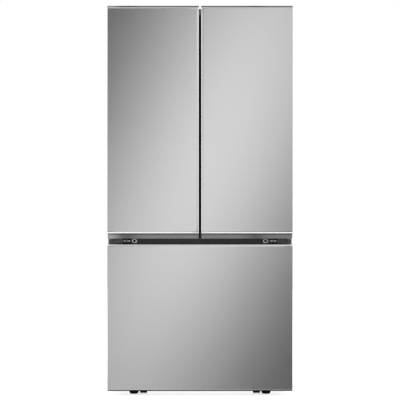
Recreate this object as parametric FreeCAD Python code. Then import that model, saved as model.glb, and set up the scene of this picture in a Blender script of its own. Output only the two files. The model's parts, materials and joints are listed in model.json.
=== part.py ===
import FreeCAD, Part
import math
import os

# French door refrigerator, in millimetres: +Z up, the front faces -Y, +X to the viewer's right.
# The origin is the bottom centre of the closed refrigerator.

# Overall sizes
overall_width = 832.0
overall_height = 1750.0
overall_depth = 775.0

# Front, from the floor up
floor_gap = 23.0
drawer_height = 657.0
middle_gap = 26.0
cap_band = 23.0
drawer_cap_band = 30.0
top_cap = 4.0
case_drop = 32.0
centre_gap = 10.0

# Doors and their seals
door_thickness = 70.0
seal_gap = 13.0
seal_width = 20.0
seal_inset = 10.0
seal_overlap = 5.0
skin_thickness = 1.0
skin_radius = 3.0
hem_fold = 3.0
skin_setback = 4.0
band_recess = 10.0
cap_corner_radius = 6.0
groove_depth = 6.0
groove_height = 5.0
base_strip_recess = 2.0
pocket_front = 26.0
pocket_width = 28.0
pocket_depth = 17.0
pocket_margin = 60.0
drawer_pocket_front = 14.0
drawer_pocket_width = 32.0
drawer_pocket_depth = 23.0
pocket_end_margin = 20.0
dyke_inset = 14.0
dyke_rim = 20.0
dyke_depth = 35.0
panel_relief = 8.0

# Cabinet
sheet = 1.0
liner_thickness = 2.0
side_wall = 45.0
top_wall = 50.0
back_wall = 60.0
case_bottom = 60.0
freezer_floor_wall = 50.0
divider_thickness = 80.0
bay_height = 270.0
bay_depth = 236.0
bay_wall = 40.0
pan_thickness = 2.0
skirt_drop = 18.0
cover_slot_count = 14
cover_slot_pitch = 15.0
cover_slot_height = 6.0
cover_slot_first = 30.0
cover_slot_half = 100.0
cover_bank_spacing = 260.0
cover_inset = 12.0
cord_gland_radius = 5.0
cord_gland_wall = 4.0
cord_gland_length = 8.0
cord_gland_inset = 38.0
cord_gland_rise = 24.0

# Hinges
hinge_inset = 18.0
hinge_setback = 35.5
pin_radius = 5.0
pin_engagement = 14.0
running_clearance = 0.05
bracket_thickness = 4.0
hinge_washer = 0.5
arm_width = 22.0
arm_sweep_room = 14.0
hinge_plate_width = 60.0
hinge_plate_length = 90.0
hinge_bolt_radius = 6.0
hinge_cover_width = 76.0
hinge_cover_length = 110.0
hinge_cover_wall = 2.5
middle_plate_width = 130.0
middle_screw_radius = 5.5
middle_screw_height = 3.5
middle_ring_radius = 9.0
middle_ring_hole = 5.0
middle_ring_height = 6.0

# Rollers and feet
foot_x = 300.0
foot_radius = 22.0
foot_base_radius = 12.5
foot_flare_height = 13.0
foot_height = 20.0
foot_nut_radius = 10.0
foot_nut_height = 6.0
stem_radius = 5.0
front_leg_y = -290.0
front_roller_x = 256.5
front_roller_width = 32.0
front_roller_radius = 20.0
front_roller_lift = 2.0
leg_beam_overhang = 35.0
leg_beam_reach = 50.0
leg_beam_thickness = 8.0
leg_boss_radius = 11.0
leg_boss_length = 22.0
rear_roller_x = 330.0
rear_roller_y = 330.0
rear_roller_radius = 22.0
rear_roller_width = 20.0
axle_radius = 3.0
ear_thickness = 2.5
ear_gap = 1.0

# Fridge compartment
shelf_front = -185.0
shelf_thickness = 12.0
shelf_rim = 16.0
glass_thickness = 4.0
glass_bed = 4.0
shelf_nose_reach = 6.0
shelf_nose_drop = 6.0
shelf_middle_gap = 8.0
shelves_a_side = 2
shelf_stagger = 60.0
crisper_cover_height = 968.0
crisper_front = -150.0
crisper_length = 430.0
crisper_wall = 3.0
crisper_side_gap = 6.0
crisper_middle_gap = 16.0
crisper_corner_radius = 16.0
grip_inset = 40.0
grip_reach = 14.0
grip_height = 22.0

# Freezer
rail_height = 34.0
rail_bottom = 390.0
rail_length = 480.0
rail_thickness = 7.0
rail_clearance = 0.5
rail_setback = 8.0
middle_rail_shorter = 20.0
inner_rail_shorter = 30.0
rail_step = 6.0
rail_groove = 2.0
rail_groove_end = 12.0
tab_setback = 16.0
tab_width = 26.0
tab_thickness = 3.0
tab_drop = 20.0
cross_setback = 12.0
cross_thickness = 4.0
cross_height = 20.0
basket_bottom = 125.0
basket_length = 385.0
tray_bottom = 468.0
tray_height = 112.0
tray_length = 500.0
basket_wall = 3.0

# Door bins, flip mullion and dairy lid
bin_depth = 108.0
upper_bin_height = 95.0
lower_bin_height = 120.0
bin_wall = 3.0
bin_side_gap = 1.0
bin_setback = 2.0
bin_corner_radius = 14.0
upper_bin_drop = 209.0
mullion_thickness = 18.0
mullion_width = 72.0
mullion_pivot_inset = 26.0
mullion_pin_radius = 3.0
mullion_arm_room = 16.0
mullion_end_gap = 22.0
mullion_arm_half = 6.0
lid_thickness = 3.0
lid_pivot_setback = 10.0
lid_pin_radius = 2.0
lid_barrel_radius = 4.0
lid_side_gap = 6.0
lid_above_bin = 3.5
lid_lip = 4.0

# Machine compartment and cold-air parts
bay_fan_x = 60.0
bay_fan_rise = 130.0
bay_fan_radius = 78.0
bay_fan_hub = 20.0
fan_depth = 24.0
fan_pitch = 30.0
blade_thickness = 2.0
motor_radius = 18.0
motor_depth = 28.0
compressor_x = -230.0
compressor_radius = 78.0
compressor_height = 175.0
compressor_edge = 32.0
compressor_foot_half = 105.0
compressor_foot_depth = 70.0
coil_pipe_radius = 4.0
fin_count = 16
fin_spacing = 13.0
fin_thickness = 1.5
fin_half_depth = 75.0
fin_rise = 70.0
coil_setback = 70.0
coil_rows = 4
coil_rise = 50.0
coil_first_rise = 25.0
coil_half_spread = 45.0
cold_fan_radius = 52.0
cold_fan_hub = 15.0
cold_fan_depth = 18.0
cold_fan_setback = 15.0
cold_fan_rise = 10.0
cold_cover_depth = 55.0
cold_cover_inset = 25.0
cold_cover_wall = 3.0
louvre_pitch = 11.0
louvre_height = 6.0
duct_half_width = 62.0
duct_depth = 14.0
vent_length = 40.0
vent_height = 8.0
lamp_half_width = 160.0
lamp_front = -130.0
lamp_back = -70.0
lamp_depth = 8.0

# Planes worked out from those sizes
half_width = overall_width / 2
front_y = -overall_depth / 2
back_y = overall_depth / 2
door_back_y = front_y + door_thickness
case_y = door_back_y + seal_gap
drawer_top = floor_gap + drawer_height
door_bottom = drawer_top + middle_gap
case_top = overall_height - case_drop
gap_middle = drawer_top + middle_gap / 2
fridge_floor = gap_middle + divider_thickness / 2
fridge_ceiling = case_top - top_wall
freezer_ceiling = gap_middle - divider_thickness / 2
freezer_floor = case_bottom + freezer_floor_wall
room_half = half_width - side_wall
room_back = back_y - back_wall
bay_top = case_bottom + bay_height
bay_y = back_y - bay_depth
step_y = bay_y - bay_wall
step_top = bay_top + bay_wall
hinge_x = half_width - hinge_inset
hinge_y = front_y + hinge_setback
seal_back_y = case_y - 0.3
shelf_room = fridge_ceiling - crisper_cover_height
even_heights = [crisper_cover_height + shelf_room * (n + 1) / (shelves_a_side + 1)
                for n in range(shelves_a_side)]
left_shelf_heights = [height + shelf_stagger / 2 for height in even_heights]
right_shelf_heights = [height - shelf_stagger / 2 for height in even_heights]
upper_bin_z = fridge_ceiling - dyke_inset - dyke_rim - upper_bin_drop
lower_bin_z = (crisper_cover_height + upper_bin_z - lower_bin_height) / 2
bay_middle_y = (bay_y + back_y) / 2
bay_fan_place = (bay_fan_x, bay_middle_y, case_bottom + bay_fan_rise)
cold_fan_place = (0.0, room_back - cold_fan_setback, (step_top + freezer_ceiling) / 2 + cold_fan_rise)
rail_outer_x = room_half - rail_thickness
rail_middle_x = rail_outer_x - rail_clearance - rail_thickness
rail_inner_x = rail_middle_x - rail_clearance - rail_thickness
rail_front_y = case_y + rail_setback
rail_inner_height = rail_height - 2 * rail_step


def block(x0, x1, y0, y1, z0, z1):
    return Part.makeBox(x1 - x0, y1 - y0, z1 - z0, FreeCAD.Vector(x0, y0, z0))


def rod(radius, start, direction, length):
    return Part.makeCylinder(radius, length, FreeCAD.Vector(*start), FreeCAD.Vector(*direction))


def mirrored(shape):
    return shape.mirror(FreeCAD.Vector(0, 0, 0), FreeCAD.Vector(1, 0, 0))


def on_side(shape, side):
    # Pieces are modelled on the left, at negative x
    return shape if side == "left" else mirrored(shape)


def joined(shapes):
    return shapes[0].fuse(shapes[1:]).removeSplitter() if len(shapes) > 1 else shapes[0]


def rounded(shape, radius, chosen):
    return shape.makeFillet(radius, [edge for edge in shape.Edges if chosen(edge)])


def runs_along(edge, axis):
    span = edge.Vertexes[-1].Point - edge.Vertexes[0].Point
    return span.Length > 0 and abs(span.dot(axis)) > 0.999 * span.Length


def upright(edge):
    return runs_along(edge, FreeCAD.Vector(0, 0, 1))


def open_box(x0, x1, y0, y1, z0, z1, wall, radius):
    # Box with upright corners rounded, open at the top
    outside = rounded(block(x0, x1, y0, y1, z0, z1), radius, upright)
    inside = block(x0 + wall, x1 - wall, y0 + wall, y1 - wall, z0 + wall, z1 + wall)
    return outside.cut(rounded(inside, radius - wall, upright))


def save(node, shape):
    shape.exportStep("parts/" + node + ".step")


# Cabinet shell

def make_wrapper():
    outer = block(-half_width, half_width, case_y, back_y - sheet, case_bottom, case_top)
    inner = block(-half_width + sheet, half_width - sheet, case_y + sheet, back_y,
                  case_bottom - sheet, case_top - sheet)
    mouth = block(-room_half, room_half, case_y - sheet, case_y + 2 * sheet,
                  case_bottom - sheet, fridge_ceiling)
    return outer.cut(inner).cut(mouth)


def make_liner(floor, ceiling, steps):
    # Each step is (depth plane, height above which the room reaches it)
    inside = joined([block(-room_half, room_half, case_y, y, max(z, floor), ceiling) for y, z in steps])
    grow = liner_thickness
    outside = joined([block(-room_half - grow, room_half + grow, case_y + sheet, y + grow,
                            max(z, floor) - grow, ceiling + grow) for y, z in steps])
    return inside, outside


def ledge(side, y0, y1, top, reach, thickness):
    return on_side(block(-room_half - 0.5, -room_half + reach, y0, y1, top - thickness, top), side)


def make_fridge_liner(inside, outside):
    liner = outside.cut(inside)
    ledges = []
    for side, heights in (("left", left_shelf_heights), ("right", right_shelf_heights)):
        for height in heights + [crisper_cover_height]:
            top = height - shelf_thickness
            ledges.append(ledge(side, shelf_front + 20, room_back, top, 9, 8))
    return joined([liner] + ledges)


def make_freezer_liner(inside, outside):
    liner = outside.cut(inside)
    ledges = [ledge(side, case_y + 20, room_back - 60, tray_bottom + 20, 18, 8) for side in ("left", "right")]
    return joined([liner] + ledges)


def make_mullion_rail():
    plate = block(-room_half, room_half, case_y, case_y + sheet, freezer_ceiling, fridge_floor)
    lip = block(-room_half, room_half, case_y, case_y + 12, gap_middle - 8, gap_middle + 8)
    return joined([plate, lip])


def make_foam(liner_rooms, rail):
    foam = block(-half_width + sheet, half_width - sheet, case_y + sheet, back_y - sheet,
                 case_bottom, case_top - sheet)
    bay = block(-half_width, half_width, bay_y, back_y, case_bottom - 1, bay_top)
    return foam.cut(joined(liner_rooms)).cut(bay).cut(rail)


def make_back_panel():
    return block(-half_width + sheet, half_width - sheet, back_y - sheet, back_y, bay_top, case_top)


def make_machine_cover():
    z0, z1 = case_bottom + 2, bay_top - 2
    plate = block(-half_width + cover_inset, half_width - cover_inset, back_y - sheet, back_y, z0, z1)
    slots = []
    for bank in (-cover_bank_spacing, 0.0, cover_bank_spacing):
        for row in range(cover_slot_count):
            z = z0 + cover_slot_first + row * cover_slot_pitch
            slots.append(block(bank - cover_slot_half, bank + cover_slot_half, back_y - 3, back_y + 3,
                               z, z + cover_slot_height))
    # Gland for the supply cord, standing in from the plate
    place = (-half_width + cord_gland_inset, back_y - cord_gland_length, z0 + cord_gland_rise)
    gland = rod(cord_gland_radius + cord_gland_wall, place, (0, 1, 0), cord_gland_length)
    hole = rod(cord_gland_radius, (place[0], place[1] - 1, place[2]), (0, 1, 0), cord_gland_length + 2)
    return joined([plate.cut(slots), gland]).cut(hole)


def roller_ears(x, y, z, width, top):
    # Two ears and the axle between them, for a roller of that width centred at x
    reach = width / 2 + ear_gap
    pieces = []
    for start in (x - reach - ear_thickness, x + reach):
        pieces.append(block(start, start + ear_thickness, y - 11, y + 11, z - 8, top))
    length = 2 * (reach + ear_thickness)
    pieces.append(rod(axle_radius, (x - length / 2, y, z), (1, 0, 0), length))
    return pieces


def make_base_pan():
    floor = block(-half_width + sheet, half_width - sheet, case_y, back_y - 2 * sheet,
                  case_bottom - pan_thickness, case_bottom)
    lip = block(-room_half, room_half, case_y, case_y + sheet, case_bottom - 1, freezer_floor)
    pieces = [floor, lip]
    for side in ("left", "right"):
        skirt = block(-half_width + sheet, -half_width + 3 * sheet, case_y, back_y - 2 * sheet,
                      case_bottom - skirt_drop, case_bottom)
        wall = block(-half_width + sheet, -half_width + 3 * sheet, bay_y + 1, back_y - 2 * sheet,
                     case_bottom - 1, bay_top)
        pieces.append(on_side(skirt, side))
        pieces.append(on_side(wall, side))
        for piece in roller_ears(-rear_roller_x, rear_roller_y, rear_roller_radius, rear_roller_width,
                                 case_bottom - 1):
            pieces.append(on_side(piece, side))
    return joined(pieces)


def make_front_leg_beam():
    top = case_bottom - pan_thickness
    reach = foot_x + leg_beam_overhang
    beam = block(-reach, reach, case_y + sheet, case_y + leg_beam_reach, top - leg_beam_thickness, top)
    pieces = [beam]
    roller_z = front_roller_lift + front_roller_radius
    for side in ("left", "right"):
        boss = rod(leg_boss_radius, (-foot_x, front_leg_y, top - leg_boss_length), (0, 0, 1), leg_boss_length)
        pieces.append(on_side(boss, side))
        for piece in roller_ears(-front_roller_x, front_leg_y, roller_z, front_roller_width, top - 1):
            pieces.append(on_side(piece, side))
    hole = rod(stem_radius + running_clearance, (-foot_x, front_leg_y, 0), (0, 0, 1), case_bottom)
    holes = [on_side(hole, side) for side in ("left", "right")]
    return joined(pieces).cut(holes)


def make_roller(x, y, radius, width, z):
    wheel = rod(radius, (x - width / 2, y, z), (1, 0, 0), width)
    wheel = wheel.makeFillet(2.5, wheel.Edges[0:1] + wheel.Edges[2:3])
    bore = rod(axle_radius + running_clearance, (x - width, y, z), (1, 0, 0), 2 * width)
    return wheel.cut(bore)


def make_levelling_foot():
    # Bowl-shaped pad, a hexagon to turn it by, and the threaded stem
    flare = Part.makeCone(foot_base_radius, foot_radius, foot_flare_height,
                          FreeCAD.Vector(-foot_x, front_leg_y, 0))
    rim_height = foot_height - foot_flare_height
    rim = rod(foot_radius, (-foot_x, front_leg_y, foot_flare_height), (0, 0, 1), rim_height)
    corners = []
    for turn in range(7):
        angle = math.radians(60 * turn)
        x = -foot_x + math.cos(angle) * foot_nut_radius
        y = front_leg_y + math.sin(angle) * foot_nut_radius
        corners.append(FreeCAD.Vector(x, y, foot_height))
    nut = Part.Face(Part.makePolygon(corners)).extrude(FreeCAD.Vector(0, 0, foot_nut_height))
    stem_length = case_bottom - pan_thickness - foot_height
    stem = rod(stem_radius, (-foot_x, front_leg_y, foot_height), (0, 0, 1), stem_length)
    return joined([flare, rim, nut, stem])


# Machine compartment and cold-air parts

def fan_wheel(hub_radius, tip_radius, blade_count, depth):
    # Axial fan about +Z with pitched blades, bored for its shaft
    pieces = [rod(hub_radius, (0, 0, 0), (0, 0, 1), depth)]
    for blade in range(blade_count):
        half = blade_thickness / 2
        plate = block(hub_radius - 2, tip_radius, -tip_radius * 0.3, tip_radius * 0.3, -half, half)
        plate.rotate(FreeCAD.Vector(0, 0, 0), FreeCAD.Vector(1, 0, 0), fan_pitch)
        plate.translate(FreeCAD.Vector(0, 0, depth / 2))
        plate.rotate(FreeCAD.Vector(0, 0, 0), FreeCAD.Vector(0, 0, 1), blade * 360 / blade_count)
        pieces.append(plate)
    bore = rod(axle_radius + running_clearance, (0, 0, -1), (0, 0, 1), depth + 2)
    return joined(pieces).cut(bore).common(rod(tip_radius, (0, 0, -depth), (0, 0, 1), 3 * depth))


def fan_motor(ring_radius, gap, depth, shaft):
    # Motor and three spider arms behind the wheel, with the shaft through it
    pieces = [rod(motor_radius, (0, 0, -depth - gap), (0, 0, 1), depth)]
    pieces.append(rod(axle_radius, (0, 0, -gap - 1), (0, 0, 1), shaft))
    for arm in range(3):
        bar = block(0, ring_radius, -4, 4, -gap - 8, -gap - 4)
        bar.rotate(FreeCAD.Vector(0, 0, 0), FreeCAD.Vector(0, 0, 1), arm * 120 + 30)
        pieces.append(bar)
    return joined(pieces)


def facing(shape, axis, place):
    turned = shape.copy()
    if axis == "x":
        turned.rotate(FreeCAD.Vector(0, 0, 0), FreeCAD.Vector(0, 1, 0), 90)
    else:
        turned.rotate(FreeCAD.Vector(0, 0, 0), FreeCAD.Vector(1, 0, 0), 90)
    turned.translate(FreeCAD.Vector(*place))
    return turned


def make_compressor():
    centre = (compressor_x, bay_middle_y, case_bottom + 12)
    shell = rod(compressor_radius, centre, (0, 0, 1), compressor_height)
    shell = shell.makeFillet(compressor_edge, shell.Edges[0:1] + shell.Edges[2:3])
    reach, deep = compressor_foot_half, compressor_foot_depth
    foot_plate = block(centre[0] - reach, centre[0] + reach, centre[1] - deep, centre[1] + deep,
                       case_bottom + 10, case_bottom + 16)
    foot_plate = rounded(foot_plate, 20, upright)
    pieces = [shell, foot_plate]
    # Rubber mounts under the foot plate, and the discharge pipe's stub
    for dx in (20 - reach, reach - 20):
        for dy in (20 - deep, deep - 20):
            pieces.append(rod(11, (centre[0] + dx, centre[1] + dy, case_bottom), (0, 0, 1), 12))
    pieces.append(rod(coil_pipe_radius, (centre[0] + 60, centre[1], case_bottom + 150), (1, 0, 0), 60))
    return joined(pieces)


def make_condenser():
    x, y, z = bay_fan_place
    half = bay_fan_radius + 12
    plate = block(x - 20, x - 17, y - half, y + half, case_bottom, z + half)
    plate = plate.cut(rod(bay_fan_radius + 5, (x - 30, y, z), (1, 0, 0), 30))
    motor = fan_motor(bay_fan_radius + 8, fan_depth / 2 + 2, motor_depth, fan_depth + 20)
    pieces = [plate, facing(motor, "x", (x - motor_radius, y, z))]
    for fin in range(fin_count):
        start = x + coil_setback + fin * fin_spacing
        pieces.append(block(start, start + fin_thickness, y - fin_half_depth, y + fin_half_depth,
                            case_bottom, z + fin_rise))
    for row in range(coil_rows):
        for column in (-coil_half_spread, coil_half_spread):
            start = (x + coil_setback - 4, y + column, case_bottom + coil_first_rise + row * coil_rise)
            pieces.append(rod(coil_pipe_radius, start, (1, 0, 0), fin_count * fin_spacing + 2))
    return Part.makeCompound(joined(pieces).Solids)


def make_condenser_fan():
    x, y, z = bay_fan_place
    return facing(fan_wheel(bay_fan_hub, bay_fan_radius, 5, fan_depth), "x", (x - motor_radius, y, z))


def make_evaporator_cover():
    y0 = room_back - cold_cover_depth
    half, wall = room_half - cold_cover_inset, cold_cover_wall
    low, high = step_top + 4, freezer_ceiling - 4
    cover = block(-half, half, y0, room_back - 0.5, low, high)
    cover = rounded(cover, 12, lambda edge: upright(edge) and edge.CenterOfMass.y < y0 + 1)
    hollow = block(-half + wall, half - wall, y0 + wall, room_back, low + wall, high - wall)
    cover = cover.cut(hollow)
    x, y, z = cold_fan_place
    slots = []
    for row in range(9):
        offset = (row - 4) * louvre_pitch
        reach = math.sqrt((cold_fan_radius + 2) ** 2 - offset ** 2)
        middle = z + offset
        slots.append(block(x - reach, x + reach, y0 - 2, y0 + 5,
                           middle - louvre_height / 2, middle + louvre_height / 2))
    for bank in (-230.0, 230.0):
        for row in range(5):
            level = z - 60 + row * 14
            slots.append(block(bank - 55, bank + 55, y0 - 2, y0 + 5, level, level + louvre_height))
    cover = cover.cut(slots)
    stub = rod(axle_radius, (x, y0 + 2, z), (0, 1, 0), 30)
    post = rod(9, (x, y0 + 2, z), (0, 1, 0), 5)
    return joined([cover, stub, post])


def make_evaporator_fan():
    x, y, z = cold_fan_place
    y0 = room_back - cold_cover_depth
    return facing(fan_wheel(cold_fan_hub, cold_fan_radius, 6, cold_fan_depth), "y", (x, y0 + 28, z))


def make_air_duct():
    low, high = crisper_cover_height + 30, fridge_ceiling - 40
    duct = block(-duct_half_width, duct_half_width, room_back - duct_depth, room_back - 0.3, low, high)
    duct = rounded(duct, 10, lambda edge: upright(edge) and edge.CenterOfMass.y < room_back - 10)
    slots = []
    for height in sorted(set(left_shelf_heights + right_shelf_heights)):
        for start in (-48.0, 8.0):
            slots.append(block(start, start + vent_length, room_back - duct_depth - 2, room_back - duct_depth + 5,
                               height + 60, height + 60 + vent_height))
    return duct.cut(slots)


def make_ceiling_lamp():
    low = fridge_ceiling - lamp_depth
    lamp = block(-lamp_half_width, lamp_half_width, lamp_front, lamp_back, low, fridge_ceiling - 0.2)
    return rounded(lamp, lamp_depth - 2, lambda edge: edge.CenterOfMass.z < low + 0.1)


# Hinges

def make_top_hinge():
    z = case_top
    x0, y0 = -half_width + 6, case_y + 6
    plate = block(x0, x0 + hinge_plate_width, y0, y0 + hinge_plate_length, z, z + bracket_thickness)
    arm = block(-hinge_x - arm_width / 2, -hinge_x + arm_width / 2, hinge_y, case_y + 8,
                z, z + bracket_thickness)
    eye = rod(arm_width / 2, (-hinge_x, hinge_y, z), (0, 0, 1), bracket_thickness)
    pin = rod(pin_radius, (-hinge_x, hinge_y, z - hinge_washer - pin_engagement), (0, 0, 1),
              pin_engagement + hinge_washer + bracket_thickness)
    pieces = [plate, arm, eye, pin]
    for x, y in ((18, 26), (54, 26), (36, 80)):
        pieces.append(rod(hinge_bolt_radius, (-half_width + x, case_y + y, z + bracket_thickness), (0, 0, 1), 4))
    return joined(pieces)


def make_hinge_cover():
    z0, z1 = case_top, case_top + case_drop - 6
    x0, x1 = -half_width + 2, -half_width + 2 + hinge_cover_width
    y0, y1 = case_y + 2, case_y + 2 + hinge_cover_length
    outside = block(x0, x1, y0, y1, z0, z1)
    outside = rounded(outside, 6, lambda edge: edge.CenterOfMass.z > z1 - 0.1 or upright(edge))
    wall = hinge_cover_wall
    hollow = block(x0 + wall, x1 - wall, case_y - 1, y1 - wall, z0 - 1, z1 - wall)
    return outside.cut(hollow)


def make_middle_hinge():
    low = drawer_top + 4
    arm_z = door_bottom - hinge_washer - bracket_thickness
    right = -half_width + 4 + middle_plate_width
    plate = block(-half_width + 4, right, case_y - bracket_thickness, case_y - 0.2, low, door_bottom - 4)
    plate = rounded(plate, 3, lambda edge: runs_along(edge, FreeCAD.Vector(0, 1, 0)))
    arm = block(-hinge_x - arm_width / 2, -hinge_x + arm_width / 2, hinge_y, case_y - bracket_thickness,
                arm_z, arm_z + bracket_thickness)
    front = case_y - bracket_thickness
    web = block(-hinge_x - 2, -hinge_x + 2, hinge_y + 16, front, low, arm_z + 1)
    eye = rod(arm_width / 2, (-hinge_x, hinge_y, arm_z), (0, 0, 1), bracket_thickness)
    pin = rod(pin_radius, (-hinge_x, hinge_y, arm_z), (0, 0, 1), bracket_thickness + hinge_washer + pin_engagement)
    level = (low + door_bottom - 4) / 2
    screws = [rod(middle_screw_radius, (x, front, level), (0, -1, 0), middle_screw_height)
              for x in (right - 58, right - 40)]
    ring = rod(middle_ring_radius, (right - 15, front, level), (0, -1, 0), middle_ring_height)
    ring = ring.cut(rod(middle_ring_hole, (right - 15, front, level), (0, -1, 0), middle_ring_height + 2))
    # The arm, with its web and pin, is welded to the plate's front
    return Part.makeCompound([joined([plate, ring] + screws), joined([arm, web, eye, pin])])


# Doors

def door_span():
    return -half_width, -centre_gap / 2


def hinge_notch():
    reach = arm_width / 2 + arm_sweep_room
    return block(-half_width - 1, -hinge_x + reach, hinge_y - reach, door_back_y + 60,
                 case_top - hinge_washer, overall_height + 1)


def pin_bores():
    bore = pin_radius + running_clearance
    top = rod(bore, (-hinge_x, hinge_y, case_top - hinge_washer - pin_engagement - 2), (0, 0, 1), 60)
    bottom = rod(bore, (-hinge_x, hinge_y, door_bottom - 1), (0, 0, 1), pin_engagement + 3)
    return [top, bottom]


def front_rounded(shape, radius, y):
    return rounded(shape, radius, lambda edge: upright(edge) and edge.CenterOfMass.y < y + 1)


def face_rounded(shape, radius, y):
    # All four edges of the front face
    return rounded(shape, radius, lambda edge: edge.CenterOfMass.y < y + 0.1)


def panel_solids(x0, x1, z0, z1):
    # The panel's outer block, and the foamed slab inside its skin
    full = face_rounded(block(x0, x1, front_y, door_back_y, z0, z1), skin_radius, front_y)
    slab = block(x0 + skin_thickness, x1 - skin_thickness, front_y + skin_thickness, door_back_y, z0, z1)
    slab = face_rounded(slab, skin_radius + hem_fold, front_y + skin_thickness)
    return full, slab


def folded_skin(full, slab):
    # The sheet metal between block and slab, folded round the sides and stopping short of the back
    box = full.BoundBox
    end = block(box.XMin - 1, box.XMax + 1, door_back_y - skin_setback, door_back_y + 1,
                box.ZMin - 1, box.ZMax + 1)
    return full.cut(slab).cut(end)


def make_door_skin():
    x0, x1 = door_span()
    full, slab = panel_solids(x0, x1, door_bottom + cap_band, overall_height - top_cap)
    return folded_skin(full, slab).cut(hinge_notch())


def door_dyke_span():
    left = -room_half + dyke_inset
    right = -mullion_pivot_inset - mullion_thickness - mullion_arm_room
    return left, right, fridge_floor + dyke_inset, fridge_ceiling - dyke_inset


def make_door_inner():
    x0, x1 = door_span()
    slab = panel_solids(x0, x1, door_bottom + cap_band, overall_height - top_cap)[1]
    left, right, low, high = door_dyke_span()
    dyke = rounded(block(left, right, door_back_y - 1, door_back_y + dyke_depth, low, high), 14,
                   lambda edge: runs_along(edge, FreeCAD.Vector(0, 1, 0)))
    hollow = block(left + dyke_rim, right - dyke_rim, door_back_y - panel_relief, door_back_y + dyke_depth + 1,
                   low + dyke_rim, high - dyke_rim)
    hollow = rounded(hollow, 10, lambda edge: runs_along(edge, FreeCAD.Vector(0, 1, 0)))
    return joined([slab, dyke]).cut(hollow).cut(hinge_notch()).cut(pin_bores())


def make_door_caps():
    x0, x1 = door_span()
    top = front_rounded(block(x0, x1, front_y, door_back_y, overall_height - top_cap, overall_height),
                        skin_radius, front_y).cut(hinge_notch())
    bottom = block(x0 + skin_thickness, x1 - skin_thickness, front_y + band_recess, door_back_y,
                   door_bottom, door_bottom + cap_band)
    bottom = front_rounded(bottom, cap_corner_radius, front_y + band_recess)
    # Shadow groove between the skin's hem and the cap's front
    groove = block(x0 - 1, x1 + 1, front_y, front_y + band_recess + groove_depth,
                   door_bottom + cap_band - groove_height, door_bottom + cap_band)
    bottom = bottom.cut(groove)
    # The bottom cap is five mouldings round the finger pocket: two ends, front lip, roof strip and back bar
    pocket_x = (x0 + pocket_margin, x1 - pocket_end_margin)
    pocket_y = (front_y + pocket_front, front_y + pocket_front + pocket_width)
    z = (door_bottom, door_bottom + cap_band)
    mouldings = [block(x0, pocket_x[0], front_y, door_back_y, *z),
                 block(pocket_x[1], x1, front_y, door_back_y, *z),
                 block(*pocket_x, front_y, pocket_y[0], *z), block(*pocket_x, pocket_y[1], door_back_y, *z),
                 block(*pocket_x, *pocket_y, door_bottom + pocket_depth, z[1])]
    bottom = bottom.cut(pin_bores())
    return Part.makeCompound([top] + [bottom.common(moulding) for moulding in mouldings])


def seal_ring(x0, x1, z0, z1):
    outside = block(x0, x1, door_back_y, seal_back_y, z0, z1)
    inside = block(x0 + seal_width, x1 - seal_width, door_back_y - 1, seal_back_y + 1,
                   z0 + seal_width, z1 - seal_width)
    ring = outside.cut(inside)
    groove = block(x0 + 7, x1 - 7, door_back_y + 5, door_back_y + 8, z0 - 1, z1 + 1)
    keep = block(x0 + 3, x1 - 3, door_back_y + 4, door_back_y + 9, z0 + 3, z1 - 3)
    return ring.cut(groove.cut(keep))


def make_door_gasket():
    x0, x1 = door_span()
    return seal_ring(x0 + hinge_inset + 4, x1 - 6, door_bottom + seal_overlap, case_top - seal_inset + 2)


def make_door_bin(z0, height):
    left, right = door_dyke_span()[:2]
    inset = dyke_rim + bin_side_gap
    y0 = door_back_y + bin_setback
    return open_box(left + inset, right - inset, y0, y0 + bin_depth, z0, z0 + height, bin_wall, bin_corner_radius)


def mullion_pivot():
    return -mullion_pivot_inset, seal_back_y + mullion_thickness / 2 + 0.5


def mullion_heights():
    return fridge_floor + mullion_end_gap, fridge_ceiling - mullion_end_gap


def make_flip_mullion():
    x, y = mullion_pivot()
    low, high = mullion_heights()
    half = mullion_thickness / 2
    bar = block(x - half, x + half, y, y + mullion_width - half, low, high)
    bar = rounded(bar, 4, lambda edge: upright(edge) and edge.CenterOfMass.y > y + 1)
    knuckle = rod(half, (x, y, low), (0, 0, 1), high - low)
    bore = mullion_pin_radius + running_clearance
    bores = [rod(bore, (x, y, low - 1), (0, 0, 1), 16), rod(bore, (x, y, high - 15), (0, 0, 1), 16)]
    return joined([bar, knuckle]).cut(bores)


def make_mullion_arms():
    # Arms on the left door that carry the flip mullion's two pins
    x, y = mullion_pivot()
    low, high = mullion_heights()
    right = door_dyke_span()[1]
    pieces = []
    for z, pin_z in ((low - 4.5, low - 4.5), (high + 0.5, high - 12)):
        pieces.append(block(right - 5, x, y - mullion_arm_half, y + mullion_arm_half, z, z + 4))
        pieces.append(rod(mullion_arm_half, (x, y, z), (0, 0, 1), 4))
        pieces.append(rod(mullion_pin_radius, (x, y, pin_z), (0, 0, 1), 16.5))
    return pieces


def dairy_lid_spot():
    left, right = door_dyke_span()[:2]
    inset = dyke_rim + lid_side_gap
    return inset - right, -left - inset, upper_bin_z + upper_bin_height + lid_above_bin


def make_dairy_lid():
    x0, x1, z = dairy_lid_spot()
    y0 = door_back_y + lid_pivot_setback
    y1 = door_back_y + bin_depth
    lid = block(x0, x1, y0, y1 - lid_lip, z, z + lid_thickness)
    lip = block(x0, x1, y1 - lid_lip, y1, z - 1, z + lid_thickness)
    barrel = rod(lid_barrel_radius, (x0, y0, z + 1), (1, 0, 0), x1 - x0)
    bore = rod(lid_pin_radius + running_clearance, (x0 - 1, y0, z + 1), (1, 0, 0), x1 - x0 + 2)
    return joined([lid, lip, barrel]).cut(bore)


def make_lid_pins():
    # Pins standing in from the right door's rim, one at each end of the lid
    x0, x1, z = dairy_lid_spot()
    y0 = door_back_y + lid_pivot_setback
    return [rod(lid_pin_radius, (x - 8, y0, z + 1), (1, 0, 0), 16) for x in (x0, x1)]


# Freezer drawer

def make_drawer_skin():
    return folded_skin(*panel_solids(-half_width, half_width, floor_gap + top_cap, drawer_top))


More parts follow.
